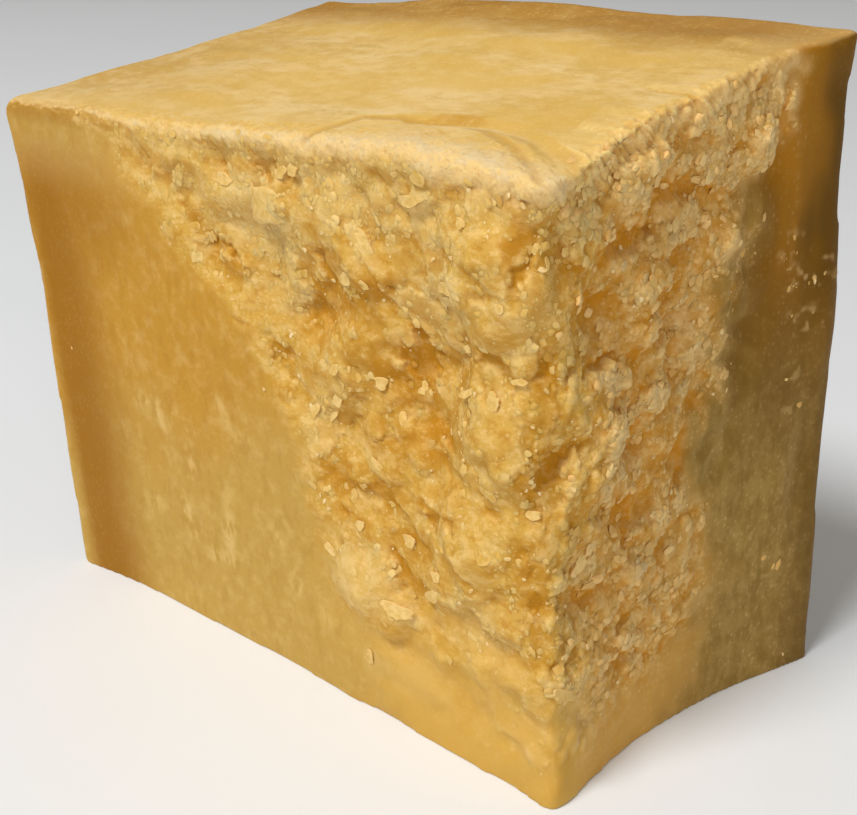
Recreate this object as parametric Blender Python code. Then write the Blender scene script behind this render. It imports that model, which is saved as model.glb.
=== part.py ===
"""A chunk of hard grana cheese: a block cut with a wire on its outer sides and broken open with a
wedge knife at its front corner, where the two faces that meet there are all crags and flakes.

Units are metres, +Z is up. The origin is on the table, under the middle of the chunk. The long cut
face looks along -Y, the short one along +X, and the broken corner is where those two meet.
"""

import math

import bmesh
import bpy
import numpy as np
from mathutils import Vector, kdtree, noise

MM = 0.001

# Driving dimensions. Places are measured from the foot of the broken corner: x to the right along
# the long face, y away from it, z up.
LENGTH = 93.0 * MM
DEPTH = 52.5 * MM
FOOT = {
    "front_right": (1.4 * MM, 0.3 * MM),
    "front_left": (-LENGTH, 0.0),
    "back_left": (-88.0 * MM, DEPTH + 1.0 * MM),
    "back_right": (7.2 * MM, DEPTH + 0.6 * MM),
}
TOP = {
    "front_right": (-1.2 * MM, -1.8 * MM, 78.3 * MM),
    "front_left": (-94.8 * MM, -3.0 * MM, 73.6 * MM),
    "back_left": (-86.0 * MM, 51.6 * MM, 82.2 * MM),
    "back_right": (3.0 * MM, 52.6 * MM, 87.8 * MM),
}
CORNERS = ("front_left", "front_right", "back_right", "back_left")
BELOW = 5.0 * MM  # how far the block runs on under the table before its foot is cut level
EDGE_ROUND = 1.0 * MM
FRONT_HOLLOW = 2.3 * MM  # how far the long face is sunk at its middle
SIDE_HOLLOW = 4.2 * MM  # the same for the short face
TOP_CROWN = 1.2 * MM  # how far the back of the top is swollen at its middle
LEFT_SAG = 1.0 * MM  # how far the left edge of the top has sunk, and where along it
SAG_PLACE = 29.0 * MM
SAG_RADIUS = 13.0 * MM
TOP_WAVE = 0.6 * MM
CELL = 1.0 * MM  # mesh size that the relief is laid on
FINE_CELL = 0.8 * MM  # mesh size once it is laid
TRIANGLES = 11000

# The upright edges at the left and at the back flare out where the wire came in, at the top.
LEFT_FLARE = 1.9 * MM
LEFT_FLARE_HEIGHT = 14.0 * MM
BACK_FLARE = 1.4 * MM
BACK_FLARE_HEIGHT = 8.0 * MM
FLARE_REACH = 11.0 * MM

# A fold of pressed paste lies along the front of the top, by the broken corner.
FOLD_MIDDLE = -18.0 * MM
FOLD_HALF = 19.0 * MM
FOLD_DEPTH = 7.6 * MM
FOLD_RISE = 0.7 * MM
FOLD_GROOVE = 0.6 * MM
CORNER_CHIP = 1.0 * MM
CHIP_RADIUS = 8.5 * MM

# Radius of the corner between the broken faces, which is worn round most of all half way up.
FOOT_RADIUS = 4.2 * MM
MIDDLE_RADIUS = 8.0 * MM
TOP_RADIUS = 3.5 * MM

# The broken zone: how far it reaches from the corner along each face, at the foot and at the top.
FRONT_REACH = (28.5 * MM, 79.0 * MM)
SIDE_REACH = (17.0 * MM, 40.0 * MM)
REACH_FADE = 3.5 * MM
RECESS = 1.3 * MM  # how much the break took away below the cut face
LIP = 2.2 * MM  # smooth rim under the top edge
CALM_FOOT = 12.0 * MM  # the foot of the corner is smoother
FOOT_SHARE = 0.3

# Dents (-) and swells (+) of the broken faces, in mm: distance along the face from the corner,
# height, radius across and up, depth.
FRONT_FORMS = [
    (19.5, 50.5, 7.5, 10.0, -3.4),
    (18.5, 40.5, 6.0, 6.0, -1.6),
    (26.5, 66.0, 5.0, 4.5, -1.5),
    (48.0, 62.0, 6.5, 5.0, -1.8),
    (39.5, 55.5, 7.0, 5.5, -1.6),
    (33.0, 38.0, 6.5, 8.0, -1.2),
    (24.0, 29.0, 6.0, 7.0, -1.2),
    (10.0, 64.5, 9.5, 9.0, 2.8),
    (9.0, 46.0, 8.0, 9.0, 1.8),
    (29.5, 19.5, 6.5, 7.5, 1.8),
    (43.0, 68.0, 8.0, 3.5, 1.2),
    (31.5, 60.0, 4.0, 8.0, 1.2),
    (14.0, 27.0, 7.0, 12.0, 1.0),
]
SIDE_FORMS = [
    (1.5, 68.0, 4.5, 6.0, -1.8),
    (17.5, 69.5, 5.5, 5.0, -2.0),
    (9.0, 58.5, 4.5, 7.5, -2.0),
    (2.0, 44.5, 4.0, 6.0, -1.5),
    (15.0, 44.0, 4.5, 7.0, -1.6),
    (24.5, 56.0, 4.5, 8.0, -1.5),
    (8.0, 29.0, 5.0, 7.0, -1.3),
    (12.5, 76.0, 7.0, 4.0, 0.9),
    (17.0, 60.0, 4.0, 8.0, 1.5),
    (9.0, 47.5, 4.0, 8.0, 1.3),
    (30.5, 63.0, 4.5, 9.0, 1.6),
    (22.0, 36.0, 5.0, 9.0, 1.0),
    (50.0, 53.0, 3.0, 12.0, 0.9),
    (48.0, 30.0, 2.5, 9.0, -0.8),
]

# Flakes that overlap like shingles: count, radius range and height range for each size.
FLAKE_SIZES = [
    (60, (4.5 * MM, 7.5 * MM), (1.0 * MM, 2.0 * MM)),
    (520, (1.8 * MM, 3.6 * MM), (0.6 * MM, 1.4 * MM)),
]
FRONT_TURN = (-1.57, 0.9)  # way that the free edges point on the long face, and its spread
SIDE_TURN = (-0.5, 0.5)  # the same on the short face, where the flakes lie in slanting ridges
SEED = 41


def smooth_step(low, high, value):
    share = min(max((value - low) / (high - low), 0.0), 1.0)
    return share * share * (3.0 - 2.0 * share)


def clear_scene():
    for thing in list(bpy.data.objects):
        bpy.data.objects.remove(thing, do_unlink=True)


def cheese_material():
    material = bpy.data.materials.new("cheese_paste")
    material.use_nodes = True
    shader = material.node_tree.nodes["Principled BSDF"]
    shader.inputs["Base Color"].default_value = (0.78, 0.50, 0.17, 1.0)
    shader.inputs["Roughness"].default_value = 0.5
    shader.inputs["Metallic"].default_value = 0.0
    return material


def even_skin(block, cell):
    """Gives the block an even skin of small faces, which also melts together what overlaps."""
    skin = block.modifiers.new("even_skin", "REMESH")
    skin.mode = "VOXEL"
    skin.voxel_size = cell
    bpy.context.view_layer.objects.active = block
    bpy.ops.object.modifier_apply(modifier=skin.name)


def cut_block(name):
    """The block as the wire cut it, with rounded edges. It runs on a little below the table."""
    shape = bmesh.new()
    low = []
    high = []
    for corner in CORNERS:
        foot = Vector((*FOOT[corner], 0.0))
        top = Vector(TOP[corner])
        low.append(shape.verts.new(foot - (top - foot) * (BELOW / top.z)))
        high.append(shape.verts.new(top))
    shape.faces.new(reversed(low))
    shape.faces.new(high)
    for i in range(4):
        j = (i + 1) % 4
        shape.faces.new((low[i], low[j], high[j], high[i]))
    bmesh.ops.bevel(
        shape, geom=shape.edges[:], offset=EDGE_ROUND, segments=3, profile=0.5, affect="EDGES"
    )
    mesh = bpy.data.meshes.new(name)
    shape.to_mesh(mesh)
    shape.free()
    block = bpy.data.objects.new(name, mesh)
    bpy.context.scene.collection.objects.link(block)
    even_skin(block, CELL)
    return block


def wear_corner(block):
    """Rounds off the upright edge between the broken faces, with a radius that changes on the way."""
    foot = Vector((*FOOT["front_right"], 0.0))
    top = Vector(TOP["front_right"])
    for vertex in block.data.vertices:
        rise = min(max(vertex.co.z / top.z, 0.0), 1.0)
        radius = FOOT_RADIUS + (MIDDLE_RADIUS - FOOT_RADIUS) * smooth_step(0.0, 0.35, rise)
        radius -= (MIDDLE_RADIUS - TOP_RADIUS) * smooth_step(0.65, 1.0, rise)
        corner = foot.lerp(top, rise)
        centre = Vector((corner.x - radius, corner.y + radius))
        off = vertex.co.xy - centre
        if off.x > 0.0 > off.y and off.length > radius:
            vertex.co.xy = centre + off.normalized() * radius
    block.data.update()


def top_height(point):
    """Height of the top cut over a point, between the four top corners."""
    across = min(max((point.x + LENGTH) / LENGTH, 0.0), 1.0)
    away = min(max(point.y / DEPTH, 0.0), 1.0)
    near = TOP["front_left"][2] * (1.0 - across) + TOP["front_right"][2] * across
    far = TOP["back_left"][2] * (1.0 - across) + TOP["back_right"][2] * across
    return near * (1.0 - away) + far * away


def place_on_faces(point, normal):
    """Which broken face a point belongs to, and its distance from the corner along that face.

    The share is 1 on the long face and 0 on the short one, and it changes over round the corner."""
    share = smooth_step(-0.6, 0.6, -normal.y - normal.x)
    return share, max(-point.x, 0.0), max(point.y, 0.0)


def rim_share(point, normal):
    """1 on the two broken faces, falling to 0 at the lip under their top edges."""
    outward = smooth_step(0.25, 0.6, max(-normal.y, normal.x))
    return outward * smooth_step(0.5 * LIP, 1.5 * LIP, top_height(point) - point.z)


def broken_share(point, normal):
    """1 where the cheese was broken, 0 where the wire cut it."""
    rise = min(max(point.z / TOP["front_right"][2], 0.0), 1.0)
    on_front, left, back = place_on_faces(point, normal)
    ragged = 5.0 * MM * noise.noise(point / (9.0 * MM))
    front_edge = FRONT_REACH[0] + (FRONT_REACH[1] - FRONT_REACH[0]) * rise**2 + ragged
    side_edge = SIDE_REACH[0] + (SIDE_REACH[1] - SIDE_REACH[0]) * smooth_step(0.05, 0.75, rise)
    side_edge += ragged
    front = smooth_step(front_edge + REACH_FADE, front_edge - REACH_FADE, left)
    side = smooth_step(side_edge + REACH_FADE, side_edge - REACH_FADE, back)
    foot = FOOT_SHARE + (1.0 - FOOT_SHARE) * smooth_step(0.0, CALM_FOOT, point.z)
    return (on_front * front + (1.0 - on_front) * side) * foot * rim_share(point, normal)


def cut_wave(point, normal):
    """How far the wire strayed: the slow hollow of each cut face, the flare and the waves."""
    across = min(max(-point.x / LENGTH, 0.0), 1.0)
    away = min(max(point.y / DEPTH, 0.0), 1.0)
    rise = min(max(point.z / TOP["front_right"][2], 0.0), 1.0)
    move = normal * (0.45 * MM * noise.noise(point / (14.0 * MM) + Vector((7.0, 1.0, 4.0))))
    hollow = FRONT_HOLLOW * math.sin(math.pi * across) ** 0.5 * (1.0 - 0.6 * rise)
    move.y += hollow * max(-normal.y, 0.0)
    hollow = SIDE_HOLLOW * math.sin(math.pi * away) ** 1.1 * (1.0 - 0.6 * rise)
    move.x -= hollow * max(normal.x, 0.0)
    stretched = Vector((point.x / 2.2, point.y, 3.0 * MM)) / (11.0 * MM)
    crown = TOP_CROWN * math.sin(math.pi * across) * away
    sag = math.hypot(point.x + LENGTH, point.y - SAG_PLACE) / SAG_RADIUS
    crown -= LEFT_SAG * math.exp(-sag * sag)
    move.z += (crown + TOP_WAVE * noise.fractal(stretched, 1.0, 2.0, 3)) * max(normal.z, 0.0)
    under = top_height(point) - point.z
    left_end = smooth_step(FLARE_REACH, 0.0, point.x + LENGTH) * (1.0 - away)
    move.x -= LEFT_FLARE * left_end * smooth_step(LEFT_FLARE_HEIGHT, 0.0, under)
    back_end = smooth_step(FLARE_REACH, 0.0, DEPTH - point.y) * smooth_step(0.8, 1.0, 1.0 - across)
    move.x += BACK_FLARE * back_end * smooth_step(BACK_FLARE_HEIGHT, 0.0, under)
    return move


def fold_height(point, normal):
    """The pressed fold along the front of the top, the groove behind it and the chipped corner."""
    if normal.z < 0.3:
        return 0.0
    along = (point.x - FOLD_MIDDLE) / FOLD_HALF
    edge = FOLD_DEPTH * max(1.0 - along * along, 0.0)
    inside = smooth_step(0.0, 1.6 * MM, edge - point.y)
    groove = math.exp(-(((point.y - edge - 0.6 * MM) / (1.0 * MM)) ** 2))
    ends = smooth_step(1.0, 0.65, abs(along))
    chip = math.exp(-(point.x**2 + point.y**2) / CHIP_RADIUS**2)
    fold = FOLD_RISE * inside * (edge / FOLD_DEPTH) - FOLD_GROOVE * groove * ends
    return fold - CORNER_CHIP * chip


def forms_height(point, normal):
    """Sum of the named dents and swells at a point of the two broken faces."""
    on_front, left, back = place_on_faces(point, normal)
    rim = rim_share(point, normal)
    height = 0.0
    for share, along, forms in ((on_front, left, FRONT_FORMS), (1.0 - on_front, back, SIDE_FORMS)):
        for centre, level, wide, tall, depth in forms:
            off = ((along / MM - centre) / wide) ** 2 + ((point.z / MM - level) / tall) ** 2
            height += rim * share * depth * MM * math.exp(-1.6 * off)
    return height


def lump_height(point):
    """Coarse lumps that a break leaves between its flakes."""
    broad = noise.fractal(point / (13.0 * MM), 0.9, 2.1, 3)
    ridge = abs(noise.noise(point / (6.5 * MM) + Vector((3.0, 9.0, 2.0))))
    return 1.1 * MM * broad - 0.7 * MM * max(1.0 - 2.0 * ridge, 0.0) ** 3


def flake_rise(off, free, cross, phases):
    """Share of a flake's height at a place: it climbs to its free edge and drops there."""
    a = off.dot(free)
    b = off.dot(cross)
    angle = math.atan2(b, a)
    outline = 1.0
    for k, phase in enumerate(phases):
        outline += 0.13 / (1.0 + 0.4 * k) * math.sin((k + 2) * angle + phase)
    reach = math.hypot(a, b) / outline
    return (0.6 + 0.4 * a) * smooth_step(1.0, 0.8, reach)


def flake_heights(points, normals, shares):
    """Height of the flakes over each point, where the highest one shows."""
    heights = np.zeros(len(points))
    draw = np.random.default_rng(SEED)
    broken = np.flatnonzero(shares > 0.25)
    tree = kdtree.KDTree(len(points))
    for i, point in enumerate(points):
        tree.insert(point, i)
    tree.balance()
    for count, radii, rises in FLAKE_SIZES:
        for home in draw.choice(broken, count, replace=False):
            radius = draw.uniform(*radii)
            rise = draw.uniform(*rises)
            narrow = draw.uniform(0.5, 0.9)
            phases = draw.uniform(0.0, 2.0 * math.pi, 5)
            normal = normals[home]
            on_front = -normal.y > normal.x
            turn = draw.normal(*(FRONT_TURN if on_front else SIDE_TURN))
            up = (Vector((0.0, 0.0, 1.0)) - normal * normal.z).normalized()
            free = up.cross(normal) * math.cos(turn) + up * math.sin(turn)
            cross = normal.cross(free) / (radius * (narrow if on_front else 1.0))
            free = free / (radius * (1.0 if on_front else narrow))
            for _, i, _ in tree.find_range(points[home], 1.35 * radius):
                if normals[i].dot(normal) < 0.3:
                    continue
                plate = rise * flake_rise(points[i] - points[home], free, cross, phases)
                heights[i] = max(heights[i], plate * shares[i])
    return heights


def break_open(block):
    """Lays the waves, the fold, the forms, the lumps and the flakes on the block's skin."""
    mesh = block.data
    points = [vertex.co.copy() for vertex in mesh.vertices]
    normals = [vertex.normal.copy() for vertex in mesh.vertices]
    shares = np.array([broken_share(p, n) for p, n in zip(points, normals)])
    flakes = flake_heights(points, normals, shares)
    for vertex, point, normal, share, flake in zip(mesh.vertices, points, normals, shares, flakes):
        height = forms_height(point, normal) + share * (lump_height(point) - RECESS) + flake
        vertex.co = point + cut_wave(point, normal) + normal * height
        vertex.co.z += fold_height(point, normal)
    mesh.update()
    even_skin(block, FINE_CELL)


def level_foot(block):
    """Cuts the foot off level with the table."""
    shape = bmesh.new()
    shape.from_mesh(block.data)
    everything = shape.verts[:] + shape.edges[:] + shape.faces[:]
    cut = bmesh.ops.bisect_plane(
        shape, geom=everything, plane_co=(0.0, 0.0, 0.0), plane_no=(0.0, 0.0, 1.0), clear_inner=True
    )
    rim = [item for item in cut["geom_cut"] if isinstance(item, bmesh.types.BMEdge)]
    bmesh.ops.contextual_create(shape, geom=rim)
    bmesh.ops.remove_doubles(shape, verts=shape.verts[:], dist=0.1 * FINE_CELL)
    bmesh.ops.recalc_face_normals(shape, faces=shape.faces[:])
    shape.to_mesh(block.data)
    shape.free()


def thin_out(block):
    """Fewer triangles where the faces are calm."""
    count = sum(len(face.vertices) - 2 for face in block.data.polygons)
    thin = block.modifiers.new("thin_out", "DECIMATE")
    thin.decimate_type = "COLLAPSE"
    thin.ratio = TRIANGLES / count
    thin.use_collapse_triangulate = True
    bpy.ops.object.modifier_apply(modifier=thin.name)
    for vertex in block.data.vertices:
        if vertex.co.z < 0.2 * MM:
            vertex.co.z = 0.0


def centre_on_foot(block):
    """Puts the origin on the table under the middle of the chunk."""
    corners = [Vector(corner) for corner in block.bound_box]
    low = Vector([min(c[k] for c in corners) for k in range(3)])
    high = Vector([max(c[k] for c in corners) for k in range(3)])
    middle = (low + high) / 2
    for vertex in block.data.vertices:
        vertex.co -= Vector((middle.x, middle.y, 0.0))


def main():
    clear_scene()
    chunk = cut_block("cheese_chunk")
    wear_corner(chunk)
    break_open(chunk)
    level_foot(chunk)
    thin_out(chunk)
    centre_on_foot(chunk)
    chunk.data.materials.append(cheese_material())
    chunk.data.shade_smooth()
    chunk.data.set_sharp_from_angle(angle=math.radians(50))


main()
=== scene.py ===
"""The looks of a chunk of aged hard cheese: smooth where a wire cut it, crumbly where it broke.

The broken zone runs round the front corner. It is drawn on one map that is wrapped round that
corner: u runs along the long face (minus), round the corner and along the short face (plus), and z
runs up. Sizes on the map are in millimetres. The map gives the body its relief and its colours.
"""

import math

import bpy
import numpy as np
from mathutils import Matrix, Vector, kdtree, noise


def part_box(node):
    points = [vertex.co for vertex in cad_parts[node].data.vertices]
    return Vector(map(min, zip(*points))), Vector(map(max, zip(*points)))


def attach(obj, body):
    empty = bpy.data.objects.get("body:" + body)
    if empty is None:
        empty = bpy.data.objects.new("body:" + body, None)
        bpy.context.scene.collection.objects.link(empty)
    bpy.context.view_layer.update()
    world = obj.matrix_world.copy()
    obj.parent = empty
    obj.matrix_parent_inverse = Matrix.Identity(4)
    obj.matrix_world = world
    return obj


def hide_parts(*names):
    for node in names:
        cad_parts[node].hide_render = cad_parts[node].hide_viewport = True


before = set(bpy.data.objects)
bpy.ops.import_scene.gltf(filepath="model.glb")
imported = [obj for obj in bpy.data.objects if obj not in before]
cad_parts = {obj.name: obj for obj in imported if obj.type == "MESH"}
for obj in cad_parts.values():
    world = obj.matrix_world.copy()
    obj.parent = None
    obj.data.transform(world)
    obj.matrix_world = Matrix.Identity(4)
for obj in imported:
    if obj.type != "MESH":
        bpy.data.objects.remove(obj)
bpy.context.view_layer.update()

bl_info = {
    "name": "Broken Hard Cheese",
    "version": (1, 0, 0),
    "blender": (4, 5, 0),
    "location": "View3D > Sidebar > Cheese",
    "description": "Dresses a chunk of hard cheese with its broken face, flakes, crystals and stage",
    "category": "Object",
}

NODE = "cheese_chunk"
BODY = "root"
MM = 0.001

# Foot of the broken corner, measured from the sides of the chunk's box.
LOW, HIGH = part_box(NODE)
CORNER = Vector((HIGH.x - 6.7 * MM, LOW.y + 2.9 * MM, 0.0))
BEND = 8.0  # mm: the map bends round the corner with this radius
MAP_LOW = (-90.0, 0.0)
MAP_HIGH = (56.0, 90.0)
PITCH = 0.16  # mm between the points of the map
MAP_SEED = 11
BURIED = -9.0  # mm: lower than anything on the map
CHIP_END = 1.04  # a chip's rim lies at 1, and it ends a little further out
AWAY = -999.0  # place on the map of what isn't on the broken faces
LOWEST_RIM = 60.0  # mm: the rim of the top is higher than this all along
ALL_ROUND = 6.28  # radians
WELD = 1e-6  # metres between points that are merged
OFF_TABLE = 0.05 * MM  # how far loose pieces stay above the table

# Relief that the body gets besides the map's, in mm.
FOLD_GROOVE = 0.16
TOP_GRAIN = 0.05
CRUST_RELIEF = 0.17
WORN_EDGE = 1.5

# How far the break reaches from the corner along each face, by height: (height, reach) in mm.
FRONT_REACH = [
    (0, 27), (8, 31), (15, 36), (22, 39), (38, 41), (44, 46), (50, 51), (60, 61), (68, 71), (73, 78),
]
SIDE_REACH = [
    (0, 19), (10, 24), (15, 31), (20, 28), (38, 29), (48, 32), (55, 32), (66, 35), (75, 40), (84, 41),
]

# How far its colour reaches along the short face, where it fades out wider than the relief.
SIDE_TINT = [
    (0, 28), (10, 30), (20, 32), (30, 29), (38, 28), (48, 31), (57, 30), (67, 34), (75, 40), (84, 43),
]

# Height of the pale rim below the top edge, along the map: (u, height) in mm.
RIM = [
    (-96, 0.5), (-76, 0.7), (-66, 1.9), (-45, 2.4), (-28, 2.8), (-16, 4.6), (-3, 3.6), (5, 4.8), (12, 5.2),
    (24, 4.6), (38, 3.6), (43, 0.4),
]

# Line of the fold in the top, from the corner's foot: (x, y) in mm.
FOLD = [
    (-36.9, -1.3), (-33.4, 5.6), (-29.5, 7.4), (-23.5, 7.4), (-16.6, 6.1), (-10.8, 4), (-6.2, 1.5),
    (-3.1, -0.9),
]

# Broad soft amber in the break, a painted glow of light through the paste over gently sunk places: (u, z,
# half length, half width, turn, strength).
GLOWS = [
    (-65, 69, 5, 2.6, 0, 0.5),
    (-53.5, 59, 4.6, 2.6, -20, 0.7),
    (-44, 71.8, 8, 1.2, 0, 0.6),
    (-40, 47.5, 5, 1.6, -10, 0.4),
    (-36, 60, 5, 5, 30, 0.6),
    (-37, 52.5, 4.2, 3.6, 0, 0.65),
    (-29, 57, 3.6, 6.5, 0, 0.6),
    (-27, 49, 3.6, 5, 0, 0.75),
    (-23, 51, 3.4, 6.5, 0, 1),
    (-20, 43, 3.6, 3.8, 0, 0.8),
    (-27, 41, 5.5, 3.2, 0, 0.75),
    (-33, 33.5, 6.5, 3.6, 0, 0.6),
    (-27, 32, 3, 3, 0, 0.25),
    (-32, 27.5, 5, 1.6, 0, 0.5),
    (-22, 28, 4, 3, 0, 0.45),
    (-24, 22.5, 3.2, 2.4, -50, 0.5),
    (-19, 34, 4, 3, 30, 0.35),
    (-5.5, 69, 2.8, 5.4, 0, 0.95),
    (-7, 75, 5, 1.4, 0, 0.6),
    (-15, 74.2, 6, 1.4, 5, 0.35),
    (-2, 56, 2.2, 3.4, -20, 0.85),
    (-12, 55.5, 6, 2, 25, 0.35),
    (0, 45, 3.8, 3, 0, 0.9),
    (-3.5, 41, 2.6, 5.4, 20, 0.55),
    (-2.5, 31, 3.2, 5.4, 0, 0.4),
    (-1, 24, 2.2, 4.4, 0, 0.45),
    (12.5, 68.5, 5.4, 3, 5, 1),
    (7, 62.5, 5.4, 3.4, 0, 0.85),
    (9, 56, 4.4, 1.8, 0, 0.7),
    (20, 64.5, 6.4, 1.8, -10, 0.75),
    (20.5, 58.5, 5, 4.4, -25, 0.55),
    (17, 53, 2.6, 4.4, 0, 0.5),
    (23, 72.5, 7, 2, -20, 0.7),
    (22, 77.8, 7, 1.6, -5, 0.6),
    (5, 74, 6, 1.8, -10, 0.5),
    (30, 57, 4, 3.4, 0, 0.6),
    (15.5, 35, 4.8, 4.2, -30, 0.85),
    (24, 39, 5, 4, 0, 0.6),
    (22, 35, 5, 3, 0, 0.3),
    (5, 37, 5, 6, 0, 0.35),
    (5, 24, 6, 5, -20, 0.4),
    (3, 4, 3.2, 4, 0, 0.25),
    (3, 66, 4, 5.5, 0, 0.6),
    (40.8, 79, 1.2, 3.4, 0, 0.8),
]

# Broad pale, grainy patches of the break: (u, z, half length, half width, turn, strength).
PATCHES = [
    (-46, 65.5, 8, 6, 0, 0.95),
    (-18, 61, 5, 6, 0, 0.5),
    (5, 22, 4, 5, 0, 0.4),
    (-42, 57, 4, 4, 0, 0.6),
    (-12, 20, 7, 4.5, 0, 0.55),
    (-22, 9, 8, 5, 0, 0.35),
    (-3, 10, 5, 7, 0, 0.4),
    (8, 11, 5, 6, 0, 0.5),
    (-30, 70, 13, 4, 0, 0.65),
    (-18, 69.5, 5, 3, 0, 0.5),
    (3.5, 74, 5, 4, 0, 0.95),
    (4, 30, 4, 5, 0, 0.55),
    (14, 40, 4, 4, 0, 0.5),
    (-31, 20.5, 5.6, 6.2, 20, 0.55),
    (-25, 18, 4.2, 1.8, -15, 0.6),
    (-29.8, 8, 1.8, 2.6, 0, 0.8),
    (-15.5, 64, 3.4, 2.4, 20, 0.5),
    (-20.5, 58.5, 5, 3, -20, 0.35),
    (-39, 40, 2.2, 5.4, -15, 0.5),
    (-46.5, 57, 4, 4, 0, 0.3),
    (-57, 65, 5, 3.4, -30, 0.35),
    (-66, 66.5, 3, 1.2, -15, 0.5),
    (-3, 63, 3.4, 3, 0, 0.4),
    (-9, 12, 7, 9, 0, 0.2),
    (-11, 24, 4, 5, -30, 0.2),
    (-20, 71, 5, 3, 0, 0.3),
    (4, 15, 4.4, 1.7, -32, 0.8),
    (10.5, 52.8, 4, 2.2, -30, 0.6),
    (12, 45.5, 5.4, 4.4, -25, 0.65),
    (12.5, 38.5, 3.4, 2.6, -30, 0.4),
    (25, 68, 4.4, 2.6, -10, 0.4),
    (33, 63.5, 4.4, 2.8, -20, 0.45),
    (28, 52, 2.6, 3.8, 0, 0.5),
    (33, 50.5, 3.2, 3.8, 0, 0.55),
    (24, 47.8, 7, 2.4, -5, 0.5),
    (27, 32.4, 3.4, 1.8, 0, 0.45),
    (22, 31.5, 1.6, 2.8, 0, 0.45),
    (18, 26.5, 2.2, 2.2, 0, 0.55),
    (26, 56, 3, 3, 0, 0.7),
    (37, 70, 3, 3, 0, 0.6),
    (26, 49, 3, 3, 0, 0.5),
    (17, 17, 3.4, 1.6, -25, 0.45),
    (9, 30, 1.5, 2.6, -20, 0.6),
    (37, 75, 3.8, 2.4, -15, 0.6),
    (43, 79.5, 1.7, 2.6, 0, 0.5),
    (31, 73, 5, 2.4, -15, 0.4),
    (19, 76, 4.4, 1.4, -25, 0.4),
    (24, 22, 7, 6, 0, 0.2),
    (43, 23, 5, 8, 0, 0.3),
]

# Recesses of the break: (u, z, half length, half width, turn in degrees, depth in mm, amber). The amber is
# painted shade and painted glow in each recess.
RECESSES = [
    (-65, 69, 3.2, 1.4, 0, 0.3, 0.6),
    (-52, 71, 4, 0.7, 0, 0.3, 0.5),
    (-44.5, 71.2, 2.4, 0.7, -15, 0.5, 1),
    (-40.3, 70.6, 2.2, 0.8, 65, 0.5, 0.8),
    (-58.8, 63.3, 2.2, 0.9, -65, 0.6, 0.7),
    (-54, 59.6, 4.6, 1.5, -18, 0.7, 0.75),
    (-50.2, 50.4, 3, 0.7, -25, 0.5, 0.6),
    (-45, 47.8, 3, 1.6, 0, 0.4, 0.5),
    (-44, 42.4, 1.6, 1, 0, 0.4, 0.6),
    (-35.8, 62.6, 3.4, 1.1, 20, 0.8, 0.9),
    (-35, 56, 5.2, 3.6, 30, 0.9, 0.75),
    (-28, 61.3, 2.6, 1.6, -30, 0.7, 0.7),
    (-25.2, 61, 2.4, 0.8, 80, 0.8, 0.9),
    (-22.3, 52.5, 4.4, 2.6, 80, 1.3, 1),
    (-18.8, 43.5, 2.2, 1.6, -50, 0.8, 0.9),
    (-28.5, 41, 3.4, 1.4, 15, 0.6, 0.65),
    (-33.5, 33, 5.5, 2.6, 10, 0.5, 0.5),
    (-33.5, 28.8, 4.6, 0.8, -12, 0.5, 0.7),
    (-27, 33, 3, 2.6, 0, 0.5, 0.5),
    (-24.8, 23.8, 3.6, 0.9, -50, 0.7, 0.85),
    (-20.8, 27.2, 1.6, 0.9, 60, 0.5, 0.7),
    (-17.5, 33, 3.2, 1.2, 25, 0.5, 0.6),
    (-39.4, 18.4, 2, 0.9, 70, 0.4, 0.5),
    (-5, 69.2, 3.2, 1.9, 80, 1, 1),
    (-6.5, 75, 3, 0.8, 5, 0.4, 0.9),
    (-14, 74.6, 4.2, 1, 5, 0.3, 0.6),
    (-2.4, 56.3, 2, 1.2, 60, 0.8, 0.9),
    (-11.5, 56.4, 4, 0.9, 20, 0.4, 0.5),
    (-0.5, 44, 3.4, 2.2, 40, 1, 0.95),
    (-4, 32.5, 2.4, 1.8, 50, 0.5, 0.55),
    (-2, 27, 2.4, 1.4, 80, 0.5, 0.6),
    (14.5, 68.6, 4.8, 2, 0, 1.3, 1),
    (7, 61.8, 3.2, 2.3, 10, 1.3, 1),
    (10, 55.4, 3.2, 0.9, 5, 1, 0.9),
    (18.8, 60.6, 2.2, 2, 0, 1, 0.8),
    (16, 53.8, 2, 1.2, 90, 0.8, 0.7),
    (23, 72.4, 5.8, 1, -14, 0.7, 0.85),
    (22, 77.6, 5.6, 0.8, 0, 0.4, 0.7),
    (3.5, 74, 3.5, 1.2, -5, 0.4, 0.5),
    (33, 57, 3, 2.8, 0, 0.8, 0.6),
    (15, 34.8, 2.8, 2.4, -30, 1, 0.8),
    (27, 38, 3.2, 1.6, 0, 0.7, 0.55),
    (28, 29.8, 2.4, 0.7, 0, 0.5, 0.5),
    (15.8, 30.6, 2, 0.9, 90, 0.6, 0.6),
    (6.5, 25.5, 5, 3, -10, 0.6, 0.6),
    (2.6, 19, 2.6, 1, 0, 0.5, 0.6),
    (15.5, 14.2, 2.6, 1.2, 0, 0.4, 0.4),
]

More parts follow.
